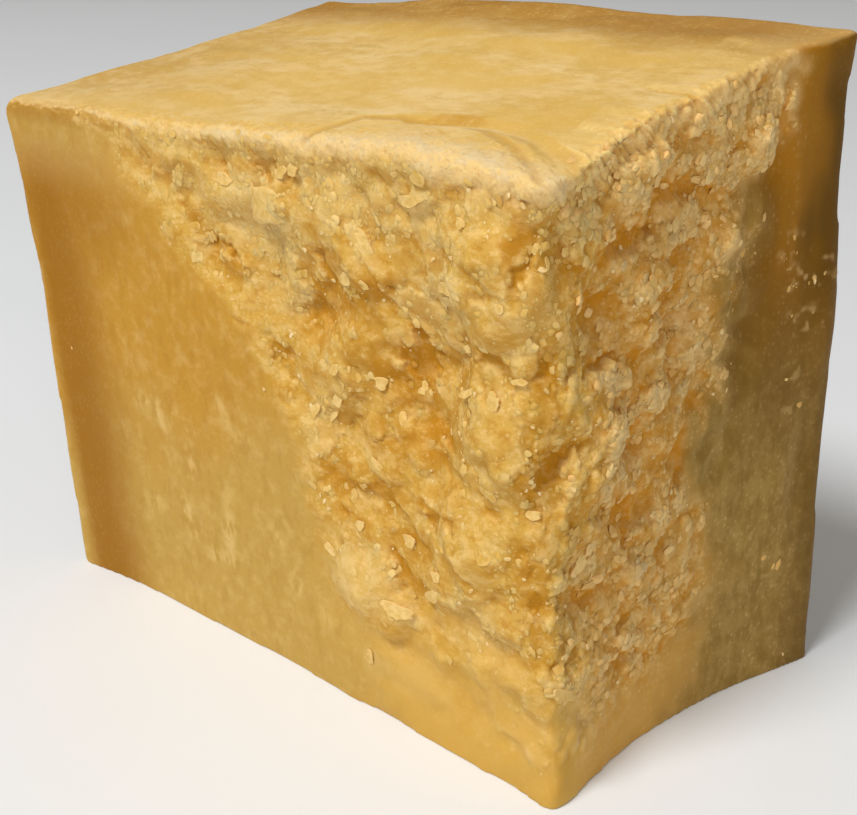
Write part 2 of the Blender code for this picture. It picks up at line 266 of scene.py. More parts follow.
# Plates and lumps that stand out: (u, z, half length, half width, turn, rise in mm, paleness).
PLATES = [
    (-31, 20.6, 6.2, 4.6, 20, 0.35, 0.25),
    (-25, 18.4, 3, 1.8, -15, 0.5, 0.6),
    (-16, 63.2, 4.2, 2, 20, 0.7, 0.4),
    (-20, 72.2, 2.6, 1.2, 20, 0.6, 0.5),
    (-21, 58.8, 4.6, 2.6, -20, 0.8, 0.2),
    (-16.8, 55.8, 2.4, 0.9, -10, 0.6, 0.3),
    (-9, 46.5, 6.4, 5, 60, 0.7, 0.15),
    (-8, 60.5, 6, 3.4, 0, 0.6, 0.15),
    (-46.5, 63, 5, 3.4, -20, 0.5, 0.15),
    (-45, 54, 5, 2.6, -40, 0.5, 0.2),
    (-28, 65, 3.6, 1, -50, 0.8, 0.55),
    (-36, 46.5, 4, 2.6, 30, 0.5, 0.25),
    (-29, 47, 3.4, 2.8, 0, 0.5, 0.2),
    (-13, 22.5, 5, 3, 40, 0.4, 0.25),
    (-38, 38.5, 3.6, 2.2, 80, 0.4, 0.3),
    (24.5, 68.6, 3.2, 2.2, 0, 1, 0.4),
    (12, 52.6, 2.8, 2, -20, 0.9, 0.4),
    (12, 46, 3.6, 3, 0, 0.9, 0.3),
    (28.5, 51.5, 2.6, 2.6, 0, 0.9, 0.3),
    (33.2, 51, 2.2, 3, 0, 0.8, 0.3),
    (32, 63, 2.8, 2.6, 0, 0.8, 0.4),
    (37, 74.5, 2.8, 3.2, 0, 0.7, 0.45),
    (42.3, 79, 1.5, 2, 10, 0.9, 0.45),
    (22, 32, 1.4, 2.2, 0, 0.7, 0.35),
    (26.8, 32.6, 2, 1.5, 0, 0.7, 0.3),
    (17.5, 25.8, 1.2, 1.8, 0, 0.6, 0.5),
    (17.4, 16.6, 2.8, 1, -15, 0.6, 0.4),
    (2.8, 15.6, 3.6, 1.2, -30, 0.6, 0.6),
    (30, 16.5, 3, 1.6, 20, 0.5, 0.3),
    (20.5, 48, 3, 1.6, 0, 0.7, 0.4),
]

# Thin leaves that lie on the break: (u, z, half length, half width, turn).
LEAVES = [
    (-44, 67.6, 1, 1, 0),
    (-41.3, 71.9, 1.3, 0.9, 20),
    (-38.9, 72.7, 1.3, 0.8, 50),
    (-9.1, 51.8, 1.5, 1, 60),
    (-13.6, 51.2, 1.4, 0.6, 30),
    (-24.6, 18.4, 2.6, 1.3, -10),
    (-19.4, 22.6, 1.8, 1, 45),
    (-28.3, 37, 1.3, 0.6, -20),
    (-39.6, 41, 1.7, 0.8, 60),
    (-36.4, 41.1, 1.1, 0.5, 45),
    (-34.2, 48.4, 1.1, 0.6, 45),
    (-35, 44.2, 1.4, 0.9, 50),
    (-28.2, 48, 1.3, 0.9, 0),
    (-28.5, 66.2, 2.3, 0.7, -55),
    (-31.6, 60.9, 1.2, 0.9, 0),
    (-20.4, 72.3, 2.1, 0.9, 20),
    (-13, 71.4, 0.9, 0.6, 0),
    (-24, 27.6, 1.4, 0.9, 10),
    (-18.4, 25.9, 1, 0.7, 0),
    (-31.5, 27.8, 1.1, 0.7, 30),
    (-30.2, 8.4, 1.3, 0.8, 95),
    (-51.6, 69.6, 1.9, 0.8, 0),
    (0.9, 69.4, 0.8, 0.6, 0),
    (-5, 54.8, 1.1, 0.5, 10),
    (-3, 38.6, 1.3, 0.6, 0),
    (-37, 22.6, 1.6, 0.6, -30),
    (-15.6, 63.4, 2.4, 1, 25),
    (8.4, 30.4, 1.7, 1.1, 60),
    (2.4, 16, 2.6, 0.7, -30),
]

# Outline of the first leaf, from its middle, in mm.
MAIN_LEAF = [
    (-3.7, 1.3), (-3.2, 0.4), (-3.6, -0.4), (-2.8, -1.2), (-3.4, -2.2), (-2.6, -2.6), (-1.6, -2.2),
    (-0.6, -2.4), (0.4, -2), (2, -1.8), (3.4, -1.4), (3.8, -0.6), (3.9, 0.3), (3.6, 1.2), (2.8, 1.6),
    (2, 2.4), (0.5, 2.6), (-0.6, 2.3), (-1.9, 2), (-2.4, 2.5), (-3.3, 2.3),
]

# Pale smears on the cut part of the long face: (u, z, half length, half width, turn, strength).
SMEARS = [
    (-57.4, 18, 6.4, 1.3, 86, 0.7),
    (-66, 17.5, 4.4, 1.2, 96, 0.6),
    (-64, 27, 2.8, 1.4, 60, 0.5),
    (-60.5, 12.5, 3.4, 1.2, 10, 0.5),
    (-44.2, 14.5, 3, 1.3, 80, 0.7),
    (-47.4, 20.4, 2.8, 0.8, 130, 0.7),
    (-56.5, 36.6, 2.8, 1, 115, 0.6),
    (-54.2, 33.6, 1.6, 0.9, 0, 0.6),
    (-73.5, 33.5, 1.8, 0.8, 30, 0.6),
    (-69.8, 32, 2.8, 0.8, 112, 0.6),
    (-73, 17, 2.6, 1.4, 0, 0.4),
    (-38.6, 11, 2.4, 1.2, 90, 0.4),
    (-72, 60.5, 2, 0.6, -40, 0.4),
]

# Crumbs pressed into the far end of the short face: (u, z, half length, half width, turn, strength).
FAR_CRUMBS = [
    (43.5, 61.5, 2.6, 3, 0, 0.7),
    (47.5, 58, 2.4, 4.6, 90, 0.8),
    (46.5, 52, 2, 4, 90, 0.8),
    (45, 45, 2.6, 1.6, 0, 0.7),
    (46.5, 40, 1.6, 4, 90, 0.5),
    (41.5, 26, 5, 4, 70, 0.35),
    (43, 17, 4, 5, 90, 0.3),
]

# The studio, in metres and watts. Each light has a name, a place, a size, a power and a colour.
LIGHTS = [
    ("key_light", (-0.08, -0.80, 1.35), 0.55, 18.5, (1.0, 0.99, 0.97)),
    ("fill_light", (0.90, -0.75, 0.60), 0.50, 3.4, (1.0, 0.95, 0.88)),
]
LIT_POINT = (0.0, 0.0, 0.04)
ROOM_COLOUR = (1.0, 0.95, 0.86, 1.0)
ROOM_LIGHT = 0.22
FLOOR_SIZE = 6.0
FLOOR_TONES = ((0.84, 0.87, 0.91), (0.87, 0.90, 0.94))
CAMERA_TARGET = Vector((-18.6 * MM, 0.0, 48.4 * MM))  # from the foot of the broken corner
NEAREST_SEEN = 0.005


# ---------------------------------------------------------------- settings


class ReliefSettings(bpy.types.PropertyGroup):
    """How fine and how deep the body's relief is"""

    cell: bpy.props.FloatProperty(
        name="Cell", description="Mesh size of the body's skin", default=0.26 * MM, unit="LENGTH"
    )
    triangles: bpy.props.IntProperty(
        name="Triangles", description="Triangles left in the body", default=196000
    )
    depth: bpy.props.FloatProperty(
        name="Depth", description="Strength of the fine relief", default=1.0, subtype="FACTOR"
    )


def swatch(name, description, colour):
    """A colour that a user can change."""
    return bpy.props.FloatVectorProperty(
        name=name, description=description, default=colour, subtype="COLOR"
    )


class ColourSettings(bpy.types.PropertyGroup):
    """Colours of the paste"""

    paste: swatch("Paste", "Cut paste of the long face", (0.545, 0.28, 0.032))
    paste_light: swatch("Light paste", "Cut paste lower down and by the break", (0.55, 0.34, 0.075))
    # The top's paste is paler and less yellow than the cut paste: partly painted sheen.
    top: swatch("Top", "Paste of the top", (0.67, 0.415, 0.112))
    top_light: swatch("Light top", "Dry grain of the top", (0.84, 0.60, 0.265))
    broken: swatch("Broken", "Broken paste of the long face", (0.645, 0.388, 0.078))
    broken_side: swatch("Broken side", "Broken paste of the short face", (0.625, 0.348, 0.078))
    # Amber is painted shade and painted glow in the depths of the break.
    amber: swatch("Amber", "Deep in the break of the long face", (0.51, 0.23, 0.013))
    amber_side: swatch("Side amber", "Deep in the break of the short face", (0.56, 0.235, 0.010))
    cream: swatch("Cream", "Dry edges of flakes", (0.82, 0.58, 0.23))
    cream_side: swatch("Side cream", "Dry edges on the short face", (0.85, 0.585, 0.25))
    band: swatch("Band", "Dry paste by the outer sides", (0.335, 0.140, 0.006))
    # Olive is mostly painted shade on the short face.
    olive: swatch("Olive", "Cut paste of the short face", (0.27, 0.160, 0.033))
    olive_light: swatch("Light olive", "Lighter clouds on the short face", (0.385, 0.245, 0.065))
    # Painted shade at the far end of the short face.
    shade_brown: swatch("Brown", "Darkest paste by the far edge", (0.125, 0.060, 0.006))
    flake: swatch("Flake", "Darkest flakes", (0.70, 0.42, 0.10))
    crystal: swatch("Crystal", "Palest crystals", (0.84, 0.66, 0.36))
    rim: swatch("Rim", "Dry paste along the top edge", (0.73, 0.575, 0.34))
    # Paler than Rim: painted light along the top edge of the short face.
    lit_side_rim: swatch("Side rim", "Dry paste along the edge of the short face", (0.97, 0.74, 0.38))


class FlakeSettings(bpy.types.PropertyGroup):
    """How many loose pieces lie on the break"""

    front: bpy.props.IntProperty(
        name="Front flakes", description="Small loose flakes on the long face", default=70
    )
    front_grains: bpy.props.IntProperty(
        name="Front grains", description="Grains of paste on the long face", default=2300
    )
    side_grains: bpy.props.IntProperty(
        name="Side grains", description="Grains of paste on the short face", default=3400
    )
    knobs: bpy.props.IntProperty(
        name="Side knobs", description="Loose knobs on the short face", default=110
    )
    crystals: bpy.props.IntProperty(
        name="Crystals", description="Pale crystals and crumbs", default=700
    )


class StageSettings(bpy.types.PropertyGroup):
    """Where the camera stands"""

    azimuth: bpy.props.FloatProperty(
        name="Azimuth",
        description="Camera's turn round the chunk",
        default=math.radians(41.7),
        subtype="ANGLE",
    )
    elevation: bpy.props.FloatProperty(
        name="Elevation",
        description="Camera's height angle",
        default=math.radians(23.7),
        subtype="ANGLE",
    )
    distance: bpy.props.FloatProperty(
        name="Distance", description="Camera to its target", default=160.8 * MM, unit="LENGTH"
    )
    lens: bpy.props.FloatProperty(
        name="Lens", description="Focal length in millimetres on a 36 mm sensor", default=59.23
    )


# ---------------------------------------------------------------- numbers on the map


def ease(low, high, value):
    """0 below low, 1 above high and a smooth climb between them."""
    share = np.clip((value - low) / (high - low), 0.0, 1.0)
    return share * share * (3.0 - 2.0 * share)


def drift(a, b, seed):
    """Smooth random numbers from -1 to 1, one cell of the pattern for each unit of a and b."""
    table = np.random.default_rng(seed).uniform(-1.0, 1.0, (256, 256))
    column, row = np.floor(a).astype(int), np.floor(b).astype(int)
    across, up = a - column, b - row
    across, up = across * across * (3 - 2 * across), up * up * (3 - 2 * up)
    near, far = (
        table[column & 255, line & 255] * (1 - across) + table[(column + 1) & 255, line & 255] * across
        for line in (row, row + 1)
    )
    return near * (1 - up) + far * up


def rough_drift(a, b, seed, layers=4):
    """Drift with finer and weaker layers on it."""
    total = 0.0
    for layer in range(layers):
        total = total + drift(a * 2**layer, b * 2**layer, seed + layer) / 2**layer
    return total / 1.7


def wrap_place(co):
    """Place on the map, in mm, of points in metres. A point's depth in the face doesn't change it."""
    x = (co[:, 0] - CORNER.x) / MM
    y = (co[:, 1] - CORNER.y) / MM
    angle = np.arctan2(BEND - y, x + BEND)
    round_corner = BEND - 2.0 * BEND * angle / (math.pi / 2)
    u = np.where(x < -BEND, x, np.where(y > BEND, y, round_corner))
    return u, co[:, 2] / MM


def spot_axes(off_u, off_z, long, short, turn):
    """Distances along and across a turned spot, as shares of its half length and half width."""
    along = (off_u * math.cos(turn) + off_z * math.sin(turn)) / long
    across = (off_z * math.cos(turn) - off_u * math.sin(turn)) / short
    return along, across


def outwardness(co, u):
    """How far points stand out of the two broken faces, in mm."""
    front = ease(BEND, -BEND, u)
    return front * (CORNER.y - co[:, 1]) / MM + (1 - front) * (co[:, 0] - CORNER.x) / MM


class BreakMap:
    """The broken faces as a picture of heights and colours, drawn flake by flake."""

    def __init__(self, seed):
        across = np.arange(MAP_LOW[0], MAP_HIGH[0], PITCH)
        up = np.arange(MAP_LOW[1], MAP_HIGH[1], PITCH)
        self.u, self.z = np.meshgrid(across, up, indexing="ij")
        self.draw = np.random.default_rng(seed)
        self.level = np.zeros(self.u.shape)
        self.height = np.full(self.u.shape, BURIED)
        self.pale = np.zeros(self.u.shape)
        self.amber = np.zeros(self.u.shape)
        self.smear = np.zeros(self.u.shape)
        self.glow = np.zeros(self.u.shape)
        self.patch = np.zeros(self.u.shape)

    def mark_zone(self):
        """Marks the break: zone for its relief, tint for its colour, which fades out wider."""
        ragged = 3.0 * drift(self.u / 5.0, self.z / 5.0, 5) + 2.6 * drift(self.u / 1.7, self.z / 1.7, 6)
        front = np.interp(self.z, *zip(*FRONT_REACH)) + ragged
        side = np.interp(self.z, *zip(*SIDE_REACH)) + ragged
        low = ease(22.0, 8.0, self.z)
        soft = np.where(self.u < 0, 3.0 + 2.0 * low, 3.6 + 2.0 * ease(40.0, 25.0, self.z))
        inside = np.where(self.u < 0, ease(-soft, soft, front + self.u), ease(-soft, soft, side - self.u))
        self.under = self.read_line(self.rim_line, self.u) - self.z
        uneven = 0.8 * drift(self.u / 2.5, self.z / 2.5, 9) + 0.5 * drift(self.u / 0.9, self.z / 0.9, 10)
        lip = 0.3 * ease(-1.2, -0.2, self.under) + 0.7 * ease(-0.6, 1.6, self.under + uneven)
        rise = np.interp(self.u, (-6.0, 10.0), (30.0, 14.0))
        above = self.z - 2.0 + 4.0 * drift(self.u / 6.0, self.z / 6.0, 8)
        foot = 0.2 + 0.8 * ease(0.0, 1.0, above / rise)
        self.zone = inside * lip * foot
        left = np.interp(self.z, *zip(*SIDE_TINT)) + 0.7 * ragged - self.u
        fade = 5.0 + 4.0 * ease(36.0, 20.0, self.z)
        wide = soft + 9.0 * ease(24.0, 8.0, self.z)
        front_tint = ease(0.0, 1.0, ease(-wide, wide, front + self.u))
        self.tint = np.where(self.u < 0, front_tint, ease(-fade, fade, left))

    def read_line(self, line, u):
        """A line's values, such as the rim's height, along u."""
        return np.interp(u, self.u[:, 0], line)

    def window(self, place, reach):
        """The part of the map within reach of a place, and its two distances from it."""
        i = int((place[0] - MAP_LOW[0]) / PITCH)
        j = int((place[1] - MAP_LOW[1]) / PITCH)
        n = int(reach / PITCH) + 2
        part = (slice(max(i - n, 0), max(i + n, 1)), slice(max(j - n, 0), max(j + n, 1)))
        return part, self.u[part] - place[0], self.z[part] - place[1]

    def oval(self, spot, ragged):
        """A blot's part of the map and how far out each point lies: 1 at its uneven rim."""
        u, z, long, short, turn = spot
        part, off_u, off_z = self.window((u, z), 1.7 * max(long, short))
        along, across = spot_axes(off_u, off_z, long, short, math.radians(turn))
        seed = int(abs(u * 13 + z * 7)) + 3  # each spot has its own rim
        jag = drift(off_u / 1.3 + 40, off_z / 1.3 + 40, seed)
        jag = jag + 0.5 * drift(off_u / 0.5 + 40, off_z / 0.5 + 40, seed)
        return part, np.hypot(along, across) + ragged * jag

    def chip(self, off_u, off_z, long, short, turn):
        """0 at the middle of a chip, 1 at its uneven, angular rim."""
        along, across = spot_axes(off_u, off_z, long, short, turn)
        reach = 0.55 * np.hypot(along, across)
        angle = self.draw.uniform(0, ALL_ROUND)
        last = angle + 6.0
        while angle < last:
            face = self.draw.uniform(0.72, 1.08)
            reach = np.maximum(reach, (along * math.cos(angle) + across * math.sin(angle)) / face)
            angle += self.draw.uniform(0.5, 1.2)
        jag = int(self.draw.integers(1, 999))
        return reach + 0.12 * drift(off_u / 0.5 + 50, off_z / 0.5 + 50, jag), along

    def places(self, count, weight):
        """Random places, likelier where the weight is high."""
        share = np.cumsum(weight.ravel())
        picked = np.searchsorted(share, self.draw.uniform(0, share[-1], count))
        return np.stack([self.u.ravel()[picked], self.z.ravel()[picked]], 1)

    def lay(self, part, shape, pale):
        """Puts a flake on the map where it stands above what is there."""
        wins = shape > self.height[part]
        self.height[part] = np.where(wins, shape, self.height[part])
        self.pale[part] = np.where(wins, pale, self.pale[part])

    def ground(self, place, field):
        """The field's value at the map's point nearest to a place."""
        i = min(max(int((place[0] - MAP_LOW[0]) / PITCH), 0), field.shape[0] - 1)
        j = min(max(int((place[1] - MAP_LOW[1]) / PITCH), 0), field.shape[1] - 1)
        return field[i, j]

    def soft_spots(self, field, spots, ragged):
        """Marks soft blots on a field."""
        for *spot, strength in spots:
            part, reach = self.oval(spot, ragged)
            field[part] = np.maximum(field[part], strength * ease(1.35, 0.3, reach))

    def recess(self, spot, depth, amber):
        """Sinks a spot, with amber painted in it as shade and glow."""
        part, reach = self.oval(spot, 0.22)
        self.level[part] -= depth * ease(1.15, 0.55, reach)
        self.amber[part] = np.maximum(self.amber[part], amber * ease(1.2, 0.6, reach))

    def plate(self, spot, rise, pale):
        """Raises a spot, with paler edges."""
        part, reach = self.oval(spot, 0.20)
        base = self.ground(spot, self.level)
        swell = 0.85 + 0.25 * np.sqrt(np.clip(1 - reach, 0, 1))
        shape = base + rise * swell - 0.5 * ease(0.8, CHIP_END, reach)
        self.lay(part, shape + BURIED * (reach > CHIP_END), pale + 0.25 * ease(0.7, 1.0, reach))

    def flakes(self, count, sizes, rises, slope, drop, tones, weight):
        """Flat chips, tilted so that one edge stands up, over one another."""
        ground = np.maximum(self.height, self.level)
        for place in self.places(count, weight):
            long = sizes[0] + (sizes[1] - sizes[0]) * self.draw.uniform() ** 1.6
            short = long * self.draw.uniform(0.5, 0.95)
            part, off_u, off_z = self.window(place, 1.4 * long)
            reach, along = self.chip(off_u, off_z, long, short, self.draw.normal(-1.2, 0.9))
            tilt = self.draw.uniform(-0.3, 1.0) * slope * along * long
            base = 0.5 * (self.ground(place, ground) + self.ground(place, self.level))
            shape = base + self.draw.uniform(*rises) + tilt - drop * ease(0.72, CHIP_END, reach)
            tone = tones[0] + (tones[1] - tones[0]) * self.draw.uniform() ** 2
            rim = 0.3 * ease(0.6, 0.95, reach) * ease(-0.3, 0.8, along)
            self.lay(part, shape + BURIED * (reach > CHIP_END), tone + rim)

    def knobs(self, count, sizes, stretch, rise, turn, tones, weight):
        """Rounded knobs, half sunk in what is there."""
        ground = np.maximum(self.height, self.level)
        for place in self.places(count, weight):
            short = sizes[0] + (sizes[1] - sizes[0]) * self.draw.uniform() ** 1.5
            long = short * self.draw.uniform(*stretch)
            part, off_u, off_z = self.window(place, 1.4 * long)
            spin = self.draw.normal(turn, 0.5)
            along, across = spot_axes(off_u, off_z, long, short, spin)
            uneven = drift(off_u / 0.7 + 50, off_z / 0.7 + 50, int(self.draw.integers(1, 999)))
            reach = np.hypot(along, across) * (1.0 + 0.22 * uneven)
            dome = np.sqrt(np.clip(1.0 - reach**2, 0.0, 1.0))
            base = self.ground(place, ground) - 0.25 * short
            shape = base + rise * short * self.draw.uniform(0.6, 1.2) * dome + BURIED * (reach > 1.0)
            tone = tones[0] + (tones[1] - tones[0]) * self.draw.uniform() ** 2
            self.lay(part, shape, tone * (0.5 + 0.5 * dome))

    def blur(self, field, radius):
        """The field, softened over a radius in mm."""
        rows = np.fft.fftfreq(field.shape[0], PITCH)[:, None]
        columns = np.fft.rfftfreq(field.shape[1], PITCH)[None, :]
        keep = np.exp(-2.0 * (math.pi * radius) ** 2 * (rows**2 + columns**2))
        return np.fft.irfft2(np.fft.rfft2(field) * keep, s=field.shape)

    def read(self, field, u, z):
        """The field's values at places between its points."""
        i = np.clip((u - MAP_LOW[0]) / PITCH, 0, field.shape[0] - 1.001)
        j = np.clip((z - MAP_LOW[1]) / PITCH, 0, field.shape[1] - 1.001)
        row, column = i.astype(int), j.astype(int)
        down, right = i - row, j - column
        first = field[row, column] * (1 - right) + field[row, column + 1] * right
        second = field[row + 1, column] * (1 - right) + field[row + 1, column + 1] * right
        return first * (1 - down) + second * down

    def survey(self, co, normals):
        """Finds the body's own hollows and the line of its top rim, from its points."""
        u, z = wrap_place(co)
        facing = np.maximum(-normals[:, 1], normals[:, 0]) > 0.45
        facing &= (u > MAP_LOW[0]) & (u < MAP_HIGH[0])
        out = outwardness(co, u)
        i = np.clip(((u[facing] - MAP_LOW[0]) / PITCH).astype(int), 0, self.u.shape[0] - 1)
        j = np.clip(((z[facing] - MAP_LOW[1]) / PITCH).astype(int), 0, self.u.shape[1] - 1)
        total = np.zeros(self.u.shape)
        count = np.zeros(self.u.shape)
        np.add.at(total, (i, j), out[facing])
        np.add.at(count, (i, j), 1.0)
        near = self.blur(total, 0.5) / np.maximum(self.blur(count, 0.5), 1e-3)
        far = self.blur(total, 5.0) / np.maximum(self.blur(count, 5.0), 1e-3)
        self.hollow = np.clip(far - near, -3.0, 3.0) * (self.blur(count, 0.5) > 0.02)
        top = np.zeros(self.u.shape[0])
        np.maximum.at(top, i, z[facing])
        found = top > LOWEST_RIM
        top = np.interp(self.u[:, 0], self.u[found, 0], top[found])
        top = np.lib.stride_tricks.sliding_window_view(np.pad(top, 5, mode="edge"), 11).max(1)
        self.rim_line = np.convolve(np.pad(top, 10, mode="edge"), np.ones(21) / 21, mode="valid")


def draw_break(chart):
    """Lays the recesses, plates, flakes and knobs of the break on the map."""
    chart.mark_zone()
    u, z, zone = chart.u, chart.z, chart.zone
    front = ease(4.0, -6.0, u) * zone**2
    side = ease(-4.0, 5.0, u) * zone**2
    slant = z * math.cos(0.9) + u * math.sin(0.9)
    cross = u * math.cos(0.9) - z * math.sin(0.9)
    chart.level += 0.45 * rough_drift(u / 5.0, z / 5.0, 20, 3) * ease(4.0, -6.0, u)
    ridges = drift(slant / 5.0, cross / 2.2, 25) + 0.6 * drift(slant / 2.4, cross / 1.2, 26)
    chart.level += 0.60 * ridges * ease(-4.0, 6.0, u)
    for *spot, depth, amber in RECESSES:
        chart.recess(spot, depth, amber)
    chart.soft_spots(chart.glow, GLOWS, 0.3)
    chart.soft_spots(chart.patch, PATCHES, 0.35)
    chart.soft_spots(chart.smear, SMEARS + FAR_CRUMBS, 0.3)
    chart.level += 0.45 * chart.patch - 0.35 * chart.glow
    free = np.clip(1.0 - 1.15 * np.maximum(chart.amber, 0.8 * chart.glow), 0.04, 1.0)
    high = ease(-0.35, 0.25, chart.level)
    chart.flakes(
        260, sizes=(1.7, 4.2), rises=(0.10, 0.50), slope=0.08, drop=0.36,
        tones=(0.0, 0.22), weight=front * free
    )
    chart.knobs(
        200, sizes=(0.8, 1.5), stretch=(1.0, 1.7), rise=0.6, turn=1.0,
        tones=(0.0, 0.25), weight=side * free * high
    )
    for *spot, rise, pale in PLATES:
        chart.plate(spot, rise, pale)
    chart.flakes(
        420, sizes=(0.7, 1.7), rises=(0.08, 0.32), slope=0.11, drop=0.24,
        tones=(0.0, 0.3), weight=front * free
    )
    chart.knobs(
        900, sizes=(0.40, 0.85), stretch=(1.0, 1.6), rise=0.7, turn=1.0,
        tones=(0.0, 0.4), weight=side * free * (0.2 + high)
    )
    chart.flakes(
        800, sizes=(0.30, 0.8), rises=(0.05, 0.18), slope=0.15, drop=0.15,
        tones=(0.0, 0.6), weight=front * (0.12 + free)
    )
    chart.knobs(
        1700, sizes=(0.2, 0.45), stretch=(1.0, 1.5), rise=0.7, turn=1.0,
        tones=(0.0, 0.7), weight=side * (0.12 + free)
    )
    chart.knobs(
        450, sizes=(0.2, 0.5), stretch=(1.0, 1.6), rise=0.5, turn=0.0,
        tones=(0.0, 0.7), weight=front * (0.08 + free)
    )
    chart.pale = np.where(chart.height < chart.level, 0.0, chart.pale)
    chart.height = np.maximum(chart.height, chart.level + 0.06 * rough_drift(u / 1.2, z / 1.2, 50))
    chart.height += 0.035 * rough_drift(u / 0.8, z / 0.8, 30)
    chart.height = chart.blur(chart.height, 0.07)
    chart.height = (chart.height - 0.08 - 0.20 * ease(1.0, 12.0, chart.under)) * zone
    grains = drift(u / 0.7, z / 0.7, 63) + 0.6 * drift(u / 1.6, z / 1.6, 64)
    crumbs = chart.smear * ease(0.2, 0.9, grains) * ease(36.0, 40.0, u)
    chart.height += 0.22 * crumbs
    chart.height += 0.03 * rough_drift(u / 1.5, z / 1.5, 70) * (1 - zone)
    shade_break(chart, crumbs)
    chart.height *= 0.80 - 0.28 * ease(4.0, -6.0, u)


def shade_break(chart, crumbs):
    """Finds how deep and how pale each point of the break is, from the heights round it. Amber in low
    places is painted shade and painted glow; paleness on raised places is partly dry edges and partly
    painted highlight.
    """
    u, z = chart.u, chart.z
    fine = chart.height - chart.blur(chart.height, 0.45)
    middle = chart.height - chart.blur(chart.height, 1.4)
    broad = chart.height - chart.blur(chart.height, 4.0)
    # Low places, amber spots and the body's hollows get amber: painted shade and painted glow.
    low = ease(0.05, 0.75, -(0.5 * fine + 0.8 * middle + 0.6 * broad))
    raised = ease(0.02, 0.40, 0.8 * fine + 0.6 * middle)
    glow = np.maximum(chart.glow, chart.amber) * (1.0 - 0.7 * raised)
    chart.deep = (np.maximum(0.75 * low, glow) + 0.18 * chart.hollow) * ease(0.1, 0.6, chart.tint)
    chart.deep = np.clip(chart.deep, 0.0, 1.0)
    grainy = ease(-0.8, 0.8, rough_drift(u / 1.2, z / 1.2, 72))
    # Raised places are paler: dry edges of flakes, partly painted highlight.
    chart.pale = 0.5 * chart.pale + 0.45 * raised + chart.patch * (0.35 + 0.5 * grainy)
    # Paler under the rim: a dry rim, stronger on the short face, where the extra paleness is painted light.
    on_side = ease(0.0, 6.0, u)
    chart.pale += (0.25 + 0.40 * on_side) * ease(9.0 + 3.0 * on_side, 1.0, chart.under) * (0.5 + grainy)
    chart.pale = chart.pale * (1.0 - 0.7 * chart.deep) * ease(0.05, 0.5, chart.tint)
    chart.pale = np.maximum(chart.pale, 0.60 * crumbs)


# ---------------------------------------------------------------- materials


class Wired:
    """A socket of a node. An expression on it adds the Math nodes that it needs."""

    def __init__(self, sheet, socket):
        self.sheet = sheet
        self.socket = socket

    def maths(self, operation, first, second):
        """Adds one Math node."""
        return self.sheet.add("ShaderNodeMath", {"operation": operation}, {0: first, 1: second})

    def __add__(self, other):
        return self.maths("ADD", self, other)

    def __radd__(self, other):
        return self.maths("ADD", other, self)

    def __sub__(self, other):
        return self.maths("SUBTRACT", self, other)

    def __rsub__(self, other):
        return self.maths("SUBTRACT", other, self)

    def __mul__(self, other):
        return self.maths("MULTIPLY", self, other)

    def __rmul__(self, other):
        return self.maths("MULTIPLY", other, self)

    def __abs__(self):
        return self.maths("ABSOLUTE", self, 0.0)


class Sheet:
    """The node sheet of one material."""

    def __init__(self, name):
        self.material = bpy.data.materials.new(name)
        self.material.use_nodes = True
        self.tree = self.material.node_tree
        self.shader = self.tree.nodes["Principled BSDF"]

    def put(self, node, key, value):
        """Sets a socket of a node, or links it."""
        if isinstance(value, Wired):
            self.tree.links.new(value.socket, node.inputs[key])
        else:
            node.inputs[key].default_value = value

    def add(self, kind, settings, inputs, output=0):
        """Adds a node: its settings are set first, then the values or links of its sockets."""
        node = self.tree.nodes.new(kind)
        for key, value in settings.items():
            setattr(node, key, value)
        for key, value in inputs.items():
            self.put(node, key, value)
        return Wired(self, node.outputs[output])

    def surface(self, **values):
        """Sets or links the shader's own sockets."""
        for key, value in values.items():
            self.put(self.shader, key.replace("_", " "), value)

    def place(self, scale=(1.0, 1.0, 1.0), turn=(0.0, 0.0, 0.0)):
        """The object's own coordinates, stretched or turned."""
        spot = self.add("ShaderNodeTexCoord", {}, {}, "Object")
        return self.add("ShaderNodeMapping", {}, {"Vector": spot, "Scale": scale, "Rotation": turn})

    def attribute(self, name):
        """A share that the mesh holds for each of its points."""
        return self.add("ShaderNodeAttribute", {"attribute_name": name}, {}, "Fac")

    def clouds(self, where, size, detail=4.0, rough=0.55):
        """Noise from 0 to 1 with blots of about this size in metres."""
        inputs = {"Vector": where, "Scale": 1.0 / size, "Detail": detail, "Roughness": rough}
        return self.add("ShaderNodeTexNoise", {}, inputs)

    def between(self, value, low, high):
        """0 below low, 1 above high."""
        settings = {"interpolation_type": "SMOOTHSTEP"}
        return self.add("ShaderNodeMapRange", settings, {"Value": value, "From Min": low, "From Max": high})

    def blend(self, share, first, second):
        """Mixes two colours. Each is a socket, or three numbers."""
        inputs = {"Factor": share, 6: tone(first), 7: tone(second)}
        return self.add("ShaderNodeMix", {"data_type": "RGBA"}, inputs, 2)

    def bump(self, height, distance):
        """A normal that follows a height, in units of this distance in metres."""
        return self.add("ShaderNodeBump", {}, {"Height": height, "Distance": distance, "Strength": 1.0})


def tone(colour):
    """A linked colour as it is, or three numbers as an opaque colour."""
    return colour if isinstance(colour, Wired) else (*colour, 1.0)


def soften(sheet, share, scale):
    """Light goes a little way into the cheese, red the furthest."""
    sheet.surface(Subsurface_Weight=share, Subsurface_Radius=(1.0, 0.90, 0.74), Subsurface_Scale=scale)
    sheet.surface(IOR=1.42, Specular_IOR_Level=0.14, Specular_Tint=(1.0, 0.80, 0.45, 1.0))


